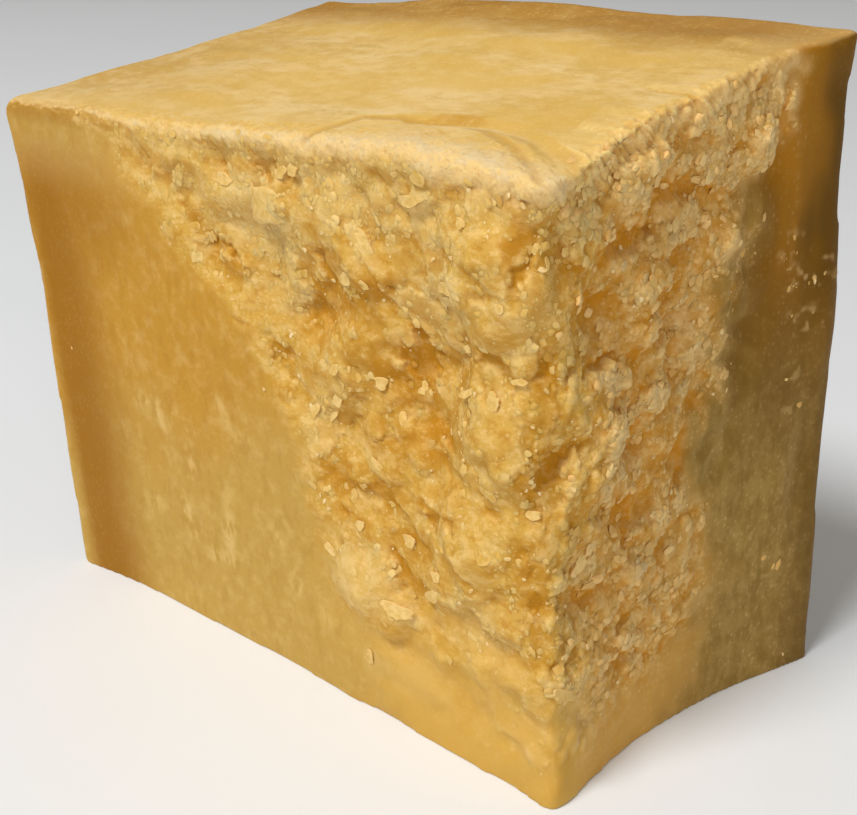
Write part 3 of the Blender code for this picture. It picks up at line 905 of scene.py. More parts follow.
def paste_material(colours):
    """Cut paste, broken paste, amber in the depths as painted shade and painted glow, cream on the edges,
    by the body's attributes.
    """
    sheet = Sheet("cheese_paste_body")
    spot = sheet.place()
    rough = sheet.attribute("rough")
    deep = sheet.attribute("deep")
    side = sheet.attribute("side")
    top = sheet.attribute("top")
    shade = sheet.attribute("shade")
    slow = sheet.clouds(spot, 14 * MM, detail=1.0)
    mottle = sheet.clouds(spot, 2.6 * MM, detail=3.0, rough=0.65)
    wide = sheet.place(scale=(0.65, 1.0, 1.0))
    grain = sheet.clouds(wide, 2.0 * MM, detail=4.0, rough=0.7)
    tall = sheet.place(scale=(1.0, 1.0, 0.4), turn=(0.0, 0.15, 0.0))
    streak = sheet.clouds(tall, 1.7 * MM, detail=2.0, rough=0.6)
    ripe = sheet.attribute("ripe") + 0.7 * slow - 0.35
    colour = sheet.blend(sheet.between(ripe, 0.0, 1.0), colours.paste_light, colours.paste)
    colour = sheet.blend(sheet.between(mottle, 0.42, 0.8) * 0.3, colour, colours.cream)
    colour = sheet.blend(sheet.between(streak, 0.52, 0.30) * 0.17, colour, colours.band)
    smear = sheet.attribute("smear") * sheet.between(streak, 0.38, 0.56)
    colour = sheet.blend(smear * 0.9, colour, colours.cream)
    # Tone of the top, paler than the cut paste: partly painted sheen, with lighter dry grain.
    top_tone = sheet.blend(sheet.between(grain + 0.6 * slow, 0.60, 1.0), colours.top, colours.top_light)
    colour = sheet.blend(top, colour, top_tone)
    cloudy = sheet.between(0.45 * mottle + 0.55 * streak, 0.36, 0.64)
    # The short face's olive: mostly painted shade, clouded.
    side_tone = sheet.blend(cloudy, colours.olive, colours.olive_light)
    colour = sheet.blend(side, colour, side_tone)
    pocket = sheet.between(grain, 0.50, 0.34)
    amber = sheet.blend(side, colours.amber, colours.amber_side)
    broken = sheet.blend(side, colours.broken, colours.broken_side)
    broken = sheet.blend(pocket * rough * 0.75, broken, amber)
    colour = sheet.blend(sheet.attribute("broken"), colour, broken)
    colour = sheet.blend(sheet.attribute("band") * 0.9, colour, colours.band)
    # Painted shade, darkest towards the far end of the short face.
    colour = sheet.blend(shade, colour, colours.shade_brown)
    # Amber where the break is deep: painted shade and painted glow.
    colour = sheet.blend(deep, colour, amber)
    cream = sheet.blend(side, colours.cream, colours.cream_side)
    far = sheet.add("ShaderNodeTexVoronoi", {}, {"Vector": spot, "Scale": 1.0 / (0.62 * MM)}, "Distance")
    luck = Wired(sheet, far.socket.node.outputs["Color"])
    bead = sheet.between(luck, 0.35, 1.0) * (1.0 - sheet.between(far, 0.28, 0.56))
    curd = sheet.between(grain, 0.52, 0.63)
    outline = 1.0 - sheet.between(abs(grain - 0.56), 0.0, 0.022)
    specks = 0.16 * top + 0.20 * side * cloudy + 0.08
    share = (bead * 0.30 + curd * 0.48 + outline * 0.30) * rough + bead * specks * (1.0 - shade)
    share = share * (1.0 - deep * 0.6)
    colour = sheet.blend(share + sheet.attribute("pale") * 0.8, colour, cream)
    fine = sheet.clouds(spot, 0.45 * MM, detail=2.0, rough=0.6)
    lip = sheet.attribute("lip") + 0.6 * mottle + 0.6 * grain + 0.4 * fine
    # Dry crust along the rim; on the short face its paler tone is painted light.
    dry = 0.85 - 0.85 * sheet.between(lip, 0.85, 1.35)
    crust = sheet.blend(sheet.between(grain + 0.4 * fine, 0.58, 0.82), colours.top_light, colours.rim)
    # Painted light: the short face's rim is paler.
    crust = sheet.blend(side * 2.5, crust, colours.lit_side_rim)
    colour = sheet.blend(dry, colour, crust)
    # A painted shadow line along the fold in the top.
    colour = sheet.blend(sheet.attribute("fold") * 0.3, colour, colours.band)
    bumps = sheet.bump(bead * rough * 0.06 + fine * 0.06 + (bead * 0.08 + fine * 0.16) * dry, MM)
    sheet.surface(Base_Color=colour, Roughness=0.56 - 0.16 * mottle - bead * rough * 0.2, Normal=bumps)
    soften(sheet, share=0.6, scale=1.3 * MM)
    return sheet.material


def grain_material(name, colours):
    """Grains of the break: of the paste that they sit on, some drier and paler, with a painted highlight
    round each grain's rim and amber painted shade where the break is deep.
    """
    sheet = Sheet(name)
    side = sheet.attribute("side")
    mottle = sheet.clouds(sheet.place(), 0.8 * MM, detail=2.0)
    amber = sheet.blend(side, colours.amber, colours.amber_side)
    cream = sheet.blend(side, colours.cream, colours.cream_side)
    colour = sheet.blend(side, colours.broken, colours.broken_side)
    colour = sheet.blend(sheet.attribute("deep"), colour, amber)
    # Paler rims: a painted highlight round each grain, as on glassy grains, and some grains drier.
    dry = (sheet.attribute("own") * 0.5 + 0.15) * sheet.attribute("edge") + sheet.attribute("pale") * 0.6
    colour = sheet.blend(dry, colour, cream)
    sheet.surface(Base_Color=colour, Roughness=0.50 - 0.25 * mottle)
    soften(sheet, share=0.35, scale=0.4 * MM)
    return sheet.material


def chip_material(name, low, high, light):
    """Thin chips and crystals, each of its own tone."""
    sheet = Sheet(name)
    own = sheet.attribute("own")
    edge = sheet.attribute("edge")
    mottle = sheet.clouds(sheet.place(), 0.8 * MM, detail=4.0)
    colour = sheet.blend(own * 0.6 + 0.6 * sheet.between(mottle, 0.35, 0.65) - 0.1, low, high)
    # Paler rims: dry edges on thin chips, and a painted rim highlight on the knobs.
    colour = sheet.blend(edge * 0.5, colour, light)
    sheet.surface(Base_Color=colour, Roughness=0.35 + 0.25 * mottle, Normal=sheet.bump(mottle, 0.05 * MM))
    soften(sheet, share=0.3, scale=0.15 * MM)
    return sheet.material


def floor_material():
    """A pale floor with faint clouds."""
    sheet = Sheet("pale_floor")
    cloud = sheet.clouds(sheet.place(), 60 * MM, detail=3.0)
    colour = sheet.blend(cloud, *FLOOR_TONES)
    sheet.surface(Base_Color=colour, Roughness=0.6)
    return sheet.material


# ---------------------------------------------------------------- meshes


def deselect():
    """Selects nothing, because an operator acts on all that is selected."""
    bpy.ops.object.select_all(action="DESELECT")


def make_active(thing):
    """Selects one object alone."""
    deselect()
    thing.select_set(True)
    bpy.context.view_layer.objects.active = thing


def apply_modifier(thing, kind, **settings):
    """Adds a modifier with these settings and applies it."""
    make_active(thing)
    modifier = thing.modifiers.new(kind.lower(), kind)
    for key, value in settings.items():
        setattr(modifier, key, value)
    bpy.ops.object.modifier_apply(modifier=modifier.name)


def read_points(mesh, what="co"):
    """The mesh's points, or their normals, as rows of three."""
    values = np.empty(len(mesh.vertices) * 3)
    mesh.vertices.foreach_get(what, values)
    return values.reshape(-1, 3)


def write_points(mesh, points):
    """Moves the mesh's points."""
    mesh.vertices.foreach_set("co", np.ascontiguousarray(points).ravel())
    mesh.update()


def write_share(mesh, name, values):
    """Stores one number from 0 to 1 for each point, which a material reads by its name."""
    layer = mesh.attributes.new(name, "FLOAT", "POINT")
    layer.data.foreach_set("value", np.clip(values, 0.0, 1.0).astype(np.float32))


def copy_of_node(name, new_name):
    """A copy of a CAD node's mesh as a piece of its own, with its loose triangles merged."""
    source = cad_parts[name]
    piece = bpy.data.objects.new(new_name, source.data.copy())
    bpy.context.scene.collection.objects.link(piece)
    make_active(piece)
    bpy.ops.object.mode_set(mode="EDIT")
    bpy.ops.mesh.select_all(action="SELECT")
    bpy.ops.mesh.remove_doubles(threshold=WELD)
    bpy.ops.object.mode_set(mode="OBJECT")
    return piece


def paint_body(mesh, chart):
    """Writes what the paste material reads: where it is broken, deep, pale, banded and so on."""
    co = read_points(mesh)
    normals = read_points(mesh, "normal")
    u, z = wrap_place(co)

    # The break: rough, with amber in its hollows, which is painted shade and painted glow, and amber
    # painted shade on slopes that look down or away from the key light.
    on_faces = ease(0.05, 0.35, np.maximum(-normals[:, 1], normals[:, 0]))
    write_share(mesh, "broken", chart.read(chart.tint, u, z) * on_faces)
    rise = np.interp(u, (-6.0, 10.0), (16.0, 8.0))
    foot = 0.15 + 0.85 * ease(0.0, 1.0, (z - 2.0 + 3.0 * drift(u / 4.0, z / 4.0, 76)) / rise)
    write_share(mesh, "rough", chart.read(chart.zone, u, z) * on_faces * foot)
    # Painted shade: more amber on slopes that face down or away from the key light.
    slope = 0.52 * ease(0.12, -0.45, normals[:, 2])
    slope += 0.25 * np.where(u < 0, ease(0.30, 0.85, normals[:, 0]), ease(0.15, 0.65, normals[:, 1]))
    slope *= chart.read(chart.zone, u, z)
    streaks = 2.0 * drift(u / 1.6, z / 9.0, 74) + 1.2 * drift(u / 4.0, z / 4.0, 77)
    # Painted glow: amber near the far end of the short face, where light comes through the paste.
    far_painted_glow = 0.4 * ease(38.0, 44.0, u + streaks) * ease(50.0, 45.0, u + streaks) * ease(50.0, 68.0, z)
    write_share(mesh, "deep", (chart.read(chart.deep, u, z) + slope + far_painted_glow) * on_faces)

    # Paler paste: dry by the edges of the top, and below the rim on the left.
    inward = from_edges(co)
    dry_top = 0.40 * ease(15.0, 1.0, inward + wander(co)) * ease(0.3, 0.8, normals[:, 2])
    under = chart.read_line(chart.rim_line, u) - z
    below_rim = 0.2 * ease(3.0, 6.0, under) * ease(13.0, 8.0, under) * ease(-46.0, -54.0, u)
    pale = np.maximum(chart.read(chart.pale, u, z), below_rim) * on_faces
    write_share(mesh, "pale", np.maximum(pale, dry_top))
    write_share(mesh, "smear", chart.read(chart.smear, u, z) * on_faces * (u < 0))
    write_share(mesh, "ripe", ease(12.0, 54.0, z - 0.25 * (u + 60.0)) * ease(0.0, 12.0, under))

    # Darker bands of dry paste along the outer sides.
    from_left = (co[:, 0] - LOW.x) / MM - 4.0 * (1.0 - z / 75.0)
    from_back = (HIGH.y - co[:, 1]) / MM
    sway = 1.2 * drift(z / 14.0, u / 30.0, 71)
    left_band = ease(0.5, 4.0, from_left) * ease(19.0, 7.0, from_left + sway)
    left_band = np.maximum(left_band, 0.75 * ease(46.0, 60.0, z) * ease(30.0, 12.0, from_left))
    left_band *= ease(0.5, 10.0, under)
    left_band = np.maximum(left_band, 0.6 * ease(4.0, 1.5, under) * ease(-70.0, -76.0, u))
    left_band *= ease(0.2, 0.6, -normals[:, 1])
    left_side = ease(0.3, 0.8, -normals[:, 0])
    back_band = 0.95 * ease(22.0, 8.0, from_back + sway + 2.0 * drift(u / 9.0, from_back / 9.0, 73))
    back_band *= ease(0.3, 0.8, normals[:, 2])
    back_side = ease(0.3, 0.8, normals[:, 1])
    far_band = ease(31.0, 41.0, u + streaks) * ease(34.0, 62.0, z) * ease(0.2, 0.6, normals[:, 0])
    left_top = 0.28 * ease(48.0, 8.0, from_left) * ease(0.3, 0.8, normals[:, 2])
    bands = [left_band, 0.8 * left_side, back_band, 0.8 * back_side, far_band, left_top]
    write_share(mesh, "band", np.maximum.reduce(bands))

    # The short face: its olive is mostly painted shade, and it darkens into painted shade towards its far
    # end and round its far edge.
    side = ease(0.2, 0.7, normals[:, 0]) * ease(2.0, 14.0, u)
    # Fewer of the short face's darker tones near its top edge: painted light.
    side *= 1.0 - 0.3 * ease(10.0, 2.0, under)
    write_share(mesh, "side", np.where(normals[:, 0] > 0, side, 0.0))
    # Painted shade, darker towards the far end of the short face and round its far edge.
    start = np.interp(z, (34.0, 72.0), (37.0, 41.0))
    below_top = 1.0 - 0.3 * ease(78.0, 85.0, z)
    dark = 0.97 * ease(0.0, 7.0, u + streaks - start) * ease(34.0, 62.0, z) * below_top
    dark = np.maximum(dark, 0.7 * ease(44.0, 51.5, u + 0.6 * streaks))
    dusk = 0.5 * ease(30.0, 41.0, u + 1.4 * streaks)
    dark = np.maximum(dark, dusk * ease(28.0, 44.0, z) * ease(76.0, 62.0, z))
    round_edge = ease(-12.0, -2.0, (co[:, 0] - CORNER.x) / MM) * ease(0.2, 0.6, normals[:, 1])
    write_share(mesh, "shade", 0.95 * dark * np.maximum(ease(0.2, 0.6, normals[:, 0]), round_edge))

    # The top, its dry rim, and a painted shadow line along its fold.
    write_share(mesh, "top", ease(0.35, 0.8, normals[:, 2]))
    under = under / np.interp(u, *zip(*RIM))
    inward = inward / (1.2 + 2.8 * ease(-40.0, -22.0, u) * ease(8.0, -2.0, u))
    write_share(mesh, "lip", 0.5 * np.maximum(under, inward) + 0.6 * ease(36.0, 46.0, u))
    fold_painted_shadow = ease(0.9, 0.1, fold_distance(co)) * ease(0.3, 0.8, normals[:, 2])
    write_share(mesh, "fold", fold_painted_shadow)


def wander(co):
    """A slow change of a few mm, along the top."""
    return 2.5 * rough_drift(co[:, 0] / (9.0 * MM), co[:, 1] / (9.0 * MM), 72, 3)


def from_edges(co):
    """How far in from the two broken faces each point lies, seen from above, in mm."""
    along_front = np.clip((CORNER.x - co[:, 0]) / (CORNER.x - LOW.x), 0.0, 1.0)
    along_side = np.clip((co[:, 1] - CORNER.y) / (HIGH.y - CORNER.y), 0.0, 1.0)
    from_front = co[:, 1] - CORNER.y + (CORNER.y - LOW.y) * along_front
    from_side = CORNER.x - co[:, 0] + (HIGH.x - CORNER.x) * along_side
    return np.minimum(from_front, from_side) / MM


def fold_distance(co):
    """Distance in mm of each point, seen from above, from the fold in the top."""
    spots = (co[:, :2] - np.array(CORNER[:2])) / MM
    nearest = np.full(len(spots), 99.0)
    for start, end in zip(FOLD, FOLD[1:]):
        start, step = np.array(start), np.array(end) - np.array(start)
        share = np.clip((spots - start) @ step / (step @ step), 0.0, 1.0)
        nearest = np.minimum(nearest, np.hypot(*(spots - start - share[:, None] * step).T))
    return nearest


def make_body(settings, colours, chart):
    """The chunk with its fine relief."""
    body = copy_of_node(NODE, "chunk_body")
    apply_modifier(body, "REMESH", mode="VOXEL", voxel_size=settings.cell)
    apply_modifier(body, "SMOOTH", factor=0.5, iterations=4)
    mesh = body.data
    co = read_points(mesh)
    normals = read_points(mesh, "normal")
    chart.survey(co, normals)
    draw_break(chart)
    u, z = wrap_place(co)
    on_faces = ease(0.05, 0.4, np.maximum(-normals[:, 1], normals[:, 0]))
    on_top = ease(0.5, 0.9, normals[:, 2])
    lift = chart.read(chart.height, u, z) * on_faces
    lift -= FOLD_GROOVE * on_top * ease(0.9, 0.1, fold_distance(co))
    lift += TOP_GRAIN * on_top * rough_drift(co[:, 0] / (2.2 * MM), co[:, 1] / (1.4 * MM), 75)
    under = chart.read_line(chart.rim_line, u) - z
    inward = from_edges(co)
    from_rim = np.maximum(under, inward)
    crust = ease(1.3, 0.6, from_rim / (np.interp(u, *zip(*RIM)) + 0.8)) * ease(44.0, 38.0, u)
    lumps = rough_drift(co[:, 0] / (1.3 * MM), (co[:, 1] + co[:, 2]) / (1.3 * MM), 78)
    lumps += 0.7 * drift(co[:, 0] / (0.45 * MM), (co[:, 1] + co[:, 2]) / (0.45 * MM), 79)
    lift += CRUST_RELIEF * crust * lumps
    on_short_edge = ease(5.0, 0.0, from_rim + 0.7 * lumps)
    lift -= WORN_EDGE * on_short_edge * ease(1.0, 9.0, u) * ease(40.0, 32.0, u)
    moved = co + normals * lift[:, None] * settings.depth * MM
    moved[:, 2] = np.maximum(moved[:, 2], 0.0)
    write_points(mesh, moved)
    count = sum(len(face.vertices) - 2 for face in mesh.polygons)
    apply_modifier(body, "DECIMATE", ratio=settings.triangles / count, use_collapse_triangulate=True)
    mesh = body.data
    paint_body(mesh, chart)
    mesh.materials.clear()
    mesh.materials.append(paste_material(colours))
    make_active(body)
    bpy.ops.object.shade_smooth()
    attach(body, BODY)
    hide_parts(NODE)


def torn_ring(sides, draw, torn):
    """The outline of a chip, about 1 in radius: lobed, and torn by this much."""
    turns = np.sort((np.arange(sides) + draw.uniform(-0.3, 0.3, sides)) * 2 * math.pi / sides)
    radii = 0.86 + draw.uniform(-torn, torn, sides)
    for lobes, swing in ((2, 0.14), (3, 0.10), (5, 0.07)):
        radii = radii + swing * np.sin(lobes * turns + draw.uniform(0.0, ALL_ROUND))
    return np.stack([np.cos(turns) * radii, np.sin(turns) * radii], 1)


def chip_shape(ring):
    """Points and faces of one thin chip of this outline, 1 thick, its underside flat."""
    sides = len(ring)
    rings = []
    for share, level in ((0.96, 0.0), (1.0, 0.4), (0.94, 0.9), (0.6, 1.0)):
        rings.append(np.column_stack([ring * share, np.full(sides, level)]))
    points = np.vstack(rings + [[[0.0, 0.0, 1.03]], [[0.0, 0.0, 0.0]]])
    edge = np.concatenate([np.full(sides, e) for e in (1.0, 1.0, 0.8, 0.0)] + [[0.0], [0.0]])
    faces = []
    for level in range(3):
        for i in range(sides):
            j = (i + 1) % sides
            low, high = level * sides, (level + 1) * sides
            faces.append((low + i, low + j, high + j))
            faces.append((low + i, high + j, high + i))
    for i in range(sides):
        j = (i + 1) % sides
        faces.append((3 * sides + i, 3 * sides + j, 4 * sides))
        faces.append((j, i, 4 * sides + 1))
    return points, faces, edge


def make_piece(name, mesh, material, sharpest):
    """Puts a mesh in the scene as a piece, shaded smooth up to this angle in degrees."""
    mesh.materials.append(material)
    piece = bpy.data.objects.new(name, mesh)
    bpy.context.scene.collection.objects.link(piece)
    make_active(piece)
    bpy.ops.object.shade_smooth_by_angle(angle=math.radians(sharpest))
    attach(piece, BODY)


def scatter(name, material, homes, make_one, seed):
    """Joins many small shapes into one piece. make_one gives each one's points, faces and tones."""
    draw = np.random.default_rng(seed)
    points, faces, owns, edges = [], [], [], []
    count = 0
    for home in homes:
        shape, sides, own, edge = make_one(home, draw)
        points.append(shape)
        faces.extend((a + count, b + count, c + count) for a, b, c in sides)
        owns.append(np.full(len(shape), own))
        edges.append(edge)
        count += len(shape)
    mesh = bpy.data.meshes.new(name)
    all_points = np.vstack(points)
    all_points[:, 2] = np.maximum(all_points[:, 2], OFF_TABLE)
    mesh.from_pydata(all_points.tolist(), [], faces)
    write_share(mesh, "own", np.concatenate(owns))
    write_share(mesh, "edge", np.concatenate(edges))
    make_piece(name, mesh, material, sharpest=38)


def broken_surface(least):
    """The body's points, normals and places on the map, and u again with AWAY for other faces."""
    mesh = bpy.data.objects["chunk_body"].data
    co = read_points(mesh)
    normals = read_points(mesh, "normal")
    u, z = wrap_place(co)
    facing = np.maximum(-normals[:, 1], normals[:, 0]) > least
    facing &= (u > MAP_LOW[0]) & (u < MAP_HIGH[0])
    return co, normals, u, z, np.where(facing, u, AWAY)


def surface_homes(choose, reach=1.2 * MM, flat=0.0):
    """Places on the body: each is a point and the directions out, along and up the face."""
    co, normals, u, z, facing_u = broken_surface(least=0.25)
    picked = choose(facing_u, z)
    tree = kdtree.KDTree(len(co))
    for i, point in enumerate(co):
        tree.insert(point, i)
    tree.balance()
    homes = []
    for i in picked:
        near = [j for _, j, _ in tree.find_range(co[i], reach)]
        face = Vector((0.0, -1.0, 0.0)) if u[i] < 0 else Vector((1.0, 0.0, 0.0))
        out = (Vector(normals[near].mean(0)).normalized() + face * flat).normalized()
        up = (Vector((0, 0, 1)) - out * out.z).normalized()
        homes.append((Vector(co[i]), out, up.cross(out), up))
    return homes


def at_random(count, weight_of, seed):
    """Chooses this many points at random, likelier where the weight is high."""

    def choose(u, z):
        share = np.cumsum(np.where(u > AWAY, weight_of(u, z), 0.0))
        return np.searchsorted(share, np.random.default_rng(seed).uniform(0, share[-1], count))

    return choose


def at_spots(spots):
    """Chooses the point nearest to each of the spots on the map."""

    def choose(u, z):
        return [int(np.argmin((u - spot[0]) ** 2 + (z - spot[1]) ** 2)) for spot in spots]

    return choose


def set_on_face(points, home, turn, tilt, sink):
    """Turns a shape about the face's outward direction, tips it up and sets it in the face."""
    spot, out, side, up = home
    frame_of_face = Matrix((side, up, out)).transposed()
    turned = frame_of_face @ Matrix.Rotation(turn, 3, "Z") @ Matrix.Rotation(tilt, 3, "Y")
    return points @ np.array(turned).T + np.array(spot - out * sink)


def one_leaf(home, draw):
    """A named thin leaf of paste, with a ragged outline."""
    place, spot = home
    ring = torn_ring(22, draw, 0.09) if spot is not LEAVES[0] else np.array(MAIN_LEAF)
    points, faces, edge = chip_shape(ring)
    long, short, turn = spot[2] * MM, spot[3] * MM, math.radians(spot[4])
    thick = draw.uniform(0.18, 0.28) * MM
    x, y = points[:, 0].copy(), points[:, 1].copy()
    sag = 0.06 * long * x * x + 0.05 * long * np.sin(2.2 * y + 1.0)
    points = np.column_stack([x * long, y * short, points[:, 2] * thick - sag])
    turned = set_on_face(points, place, turn, tilt=draw.uniform(-0.10, 0.10), sink=-0.06 * MM)
    return turned, faces, draw.uniform(0.45, 1.0), edge


def one_flake(home, draw):
    """A thin leaf of paste whose free edge stands off the face."""
    points, faces, edge = chip_shape(torn_ring(13, draw, 0.10))
    long = (0.35 + 1.3 * draw.uniform(0.0, 1.0) ** 2.5) * MM
    short = long * draw.uniform(0.45, 0.9)
    thick = draw.uniform(0.10, 0.2) * MM
    bend = draw.uniform(-0.05, 0.2) * long
    x, y = points[:, 0].copy(), points[:, 1].copy()
    points = np.column_stack([x * long, y * short, points[:, 2] * thick - bend * x * x])
    turned = set_on_face(points, home, draw.normal(-1.4, 1.1), -draw.uniform(0.0, 0.2), sink=0.11 * MM)
    return turned, faces, draw.uniform(0.0, 1.0) ** 1.7, edge


def round_shape(level):
    """Points and faces of a ball, about 1 in radius."""
    deselect()
    bpy.ops.mesh.primitive_ico_sphere_add(subdivisions=level, radius=1.0, location=(0.0, 0.0, 0.0))
    ball = bpy.context.active_object
    points = read_points(ball.data)
    faces = [tuple(face.vertices) for face in ball.data.polygons]
    bpy.ops.object.delete()
    return points, faces


def one_knob(home, draw):
    """A rounded, lumpy crumb of paste, half sunk in the face."""
    place, (ball, faces) = home
    shift = Vector(draw.uniform(-50, 50, 3))
    lumps = np.array([noise.noise(Vector(point) * 1.4 + shift) for point in ball])
    wide = draw.uniform(0.25, 0.65) * MM
    size = [wide * draw.uniform(1.0, 1.5), wide, wide * draw.uniform(0.6, 0.9)]
    points = ball * (1.0 + 0.45 * lumps[:, None]) * size
    turned = set_on_face(points, place, draw.normal(1.0, 0.6), draw.uniform(-0.3, 0.3), sink=0.15 * wide)
    # A pale ring round each knob and a darker top: painted rim highlight, for a translucent look.
    edge = ease(-0.2, 0.5, ball[:, 2]) * (1.0 - 0.7 * ease(0.6, 1.0, ball[:, 2]))
    return turned, faces, draw.uniform(0.0, 1.0) ** 1.6, edge


def strew_grains(name, material, count, weight_of, widths, turn, seed):
    """Joins angular grains into one piece, each turned, stretched and half sunk in the break."""
    co, normals, u, z, facing_u = broken_surface(least=0.15)
    picked = at_random(count, weight_of, seed)(facing_u, z)
    draw = np.random.default_rng(seed + 1)
    on_side = ease(-4.0, 4.0, u[picked])
    out = normals[picked] + 0.6 * np.stack([on_side, on_side - 1.0, np.zeros(count)], 1)
    out /= np.linalg.norm(out, axis=1, keepdims=True)
    up = np.array([0.0, 0.0, 1.0]) - out * out[:, 2:]
    up /= np.linalg.norm(up, axis=1, keepdims=True)
    aside = np.cross(up, out)
    turns = draw.normal(turn, 0.7, (count, 1))
    along = aside * np.cos(turns) + up * np.sin(turns)
    across = up * np.cos(turns) - aside * np.sin(turns)
    wide = (widths[0] + (widths[1] - widths[0]) * draw.uniform(0.0, 1.0, (count, 1)) ** 2.4) * MM
    long = wide * draw.uniform(1.0, 1.7, (count, 1))
    thick = wide * draw.uniform(0.30, 0.60, (count, 1))
    ball, faces = round_shape(1)
    shapes = ball[None] * draw.uniform(0.62, 1.15, (count, len(ball), 1))
    points = (co[picked] - 0.45 * thick * out)[:, None, :]
    for axis, size, direction in ((0, long, along), (1, wide, across), (2, thick, out)):
        points = points + (shapes[:, :, axis] * size)[:, :, None] * direction[:, None, :]
    points[:, :, 2] = np.maximum(points[:, :, 2], OFF_TABLE)
    steps = np.arange(count)[:, None, None] * len(ball)
    faces = (np.array(faces)[None] + steps).reshape(-1, 3)
    mesh = bpy.data.meshes.new(name)
    mesh.from_pydata(points.reshape(-1, 3).tolist(), [], faces.tolist())
    under = CHART.read(CHART.under, u[picked], z[picked])
    for field, values in (
        ("own", draw.uniform(0.0, 1.0, count) ** 1.8),
        ("deep", 0.9 * CHART.read(CHART.deep, u[picked], z[picked])),
        ("pale", CHART.read(CHART.pale, u[picked], z[picked])),
        # Fewer of the short face's darker tones near its top: painted light.
        ("side", ease(2.0, 10.0, u[picked]) * (1.0 - 0.3 * ease(10.0, 2.0, under))),
    ):
        write_share(mesh, field, np.repeat(values, len(ball)))
    height = shapes[:, :, 2].ravel()
    # A pale ring round each grain and a darker top: the painted rim highlight.
    write_share(mesh, "edge", ease(-0.3, 0.4, height) * (1.0 - 0.6 * ease(0.6, 1.0, height)))
    make_piece(name, mesh, material, sharpest=55)


def one_crystal(home, draw):
    """A small pale crystal or crumb."""
    points, faces, edge = chip_shape(torn_ring(6, draw, 0.12))
    wide = (0.07 + 0.30 * draw.uniform(0.0, 1.0) ** 3.0) * MM
    points = points * [wide * draw.uniform(1.0, 1.8), wide, wide * draw.uniform(0.3, 0.7)]
    turn = draw.uniform(0, ALL_ROUND)
    turned = set_on_face(points, home, turn, draw.uniform(-0.4, 0.4), sink=0.15 * wide)
    return turned, faces, draw.uniform(0.2, 1.0), edge


# ---------------------------------------------------------------- operators

CHART = BreakMap(MAP_SEED)  # the one map of the break


class CHEESE_OT_body(bpy.types.Operator):
    """Makes the chunk's body, with its broken relief and colours"""

    bl_idname = "cheese.body"
    bl_label = "Chunk Body"

    def execute(self, context):
        scene = context.scene
        make_body(scene.cheese_relief, scene.cheese_colours, CHART)
        return {"FINISHED"}


class CHEESE_OT_flakes(bpy.types.Operator):
    """Lays leaves and loose flakes over the broken long face"""

    bl_idname = "cheese.flakes"
    bl_label = "Loose Flakes"

    def execute(self, context):
        def weight(u, z):
            return CHART.read(CHART.zone, u, z) ** 2 * ease(6.0, -4.0, u)

        tones = context.scene.cheese_colours
        material = chip_material("flake_paste", tones.broken, tones.cream, tones.cream)
        leaves = zip(surface_homes(at_spots(LEAVES), reach=3.0 * MM, flat=1.0), LEAVES)
        scatter("front_leaves", material, leaves, one_leaf, seed=20)
        homes = surface_homes(at_random(context.scene.cheese_flakes.front, weight, seed=21))
        scatter("front_flakes", material, homes, one_flake, seed=22)
        return {"FINISHED"}


class CHEESE_OT_knobs(bpy.types.Operator):
    """Sets rounded knobs on the broken short face"""

    bl_idname = "cheese.knobs"
    bl_label = "Side Knobs"

    def execute(self, context):
        def weight(u, z):
            return CHART.read(CHART.zone, u, z) ** 2 * ease(-4.0, 8.0, u)

        tones = context.scene.cheese_colours
        material = chip_material("knob_paste", tones.broken_side, tones.cream_side, tones.cream_side)
        homes = surface_homes(at_random(context.scene.cheese_flakes.knobs, weight, seed=31))
        ball = round_shape(2)
        scatter("side_knobs", material, [(home, ball) for home in homes], one_knob, seed=32)
        return {"FINISHED"}


class CHEESE_OT_grains(bpy.types.Operator):
    """Covers the break with small grains of its own paste"""

    bl_idname = "cheese.grains"
    bl_label = "Grains"

    def execute(self, context):
        def rough(u, z):
            grown = 0.25 + CHART.read(CHART.patch, u, z) + CHART.read(CHART.pale, u, z)
            bare = 1.0 - 0.7 * CHART.read(CHART.glow, u, z)
            rise = np.interp(u, (-6.0, 10.0), (20.0, 8.0))
            foot = 0.12 + 0.88 * ease(0.0, 1.0, (z - 4.0) / rise)
            lip = 0.2 + 1.2 * ease(-34.0, -26.0, u) + 0.8 * ease(0.0, 8.0, u)
            off_lip = ease(lip, lip + 2.5, CHART.read(CHART.under, u, z))
            crumbs = 0.35 * CHART.read(CHART.smear, u, z) * ease(38.0, 42.0, u)
            return CHART.read(CHART.zone, u, z) ** 1.2 * grown * bare * foot * off_lip + crumbs

        def on_front(u, z):
            return rough(u, z) * ease(6.0, -4.0, u)

        def on_side(u, z):
            return rough(u, z) * ease(-4.0, 6.0, u)

        counts = context.scene.cheese_flakes
        paste = grain_material("grain_paste", context.scene.cheese_colours)
        for name, count, weight, widths, turn, seed in (
            ("front_grains", counts.front_grains, on_front, (0.12, 0.70), -1.2, 51),
            ("side_grains", counts.side_grains, on_side, (0.14, 0.75), 1.0, 61),
        ):
            strew_grains(name, paste, count, weight, widths, turn, seed)
        return {"FINISHED"}


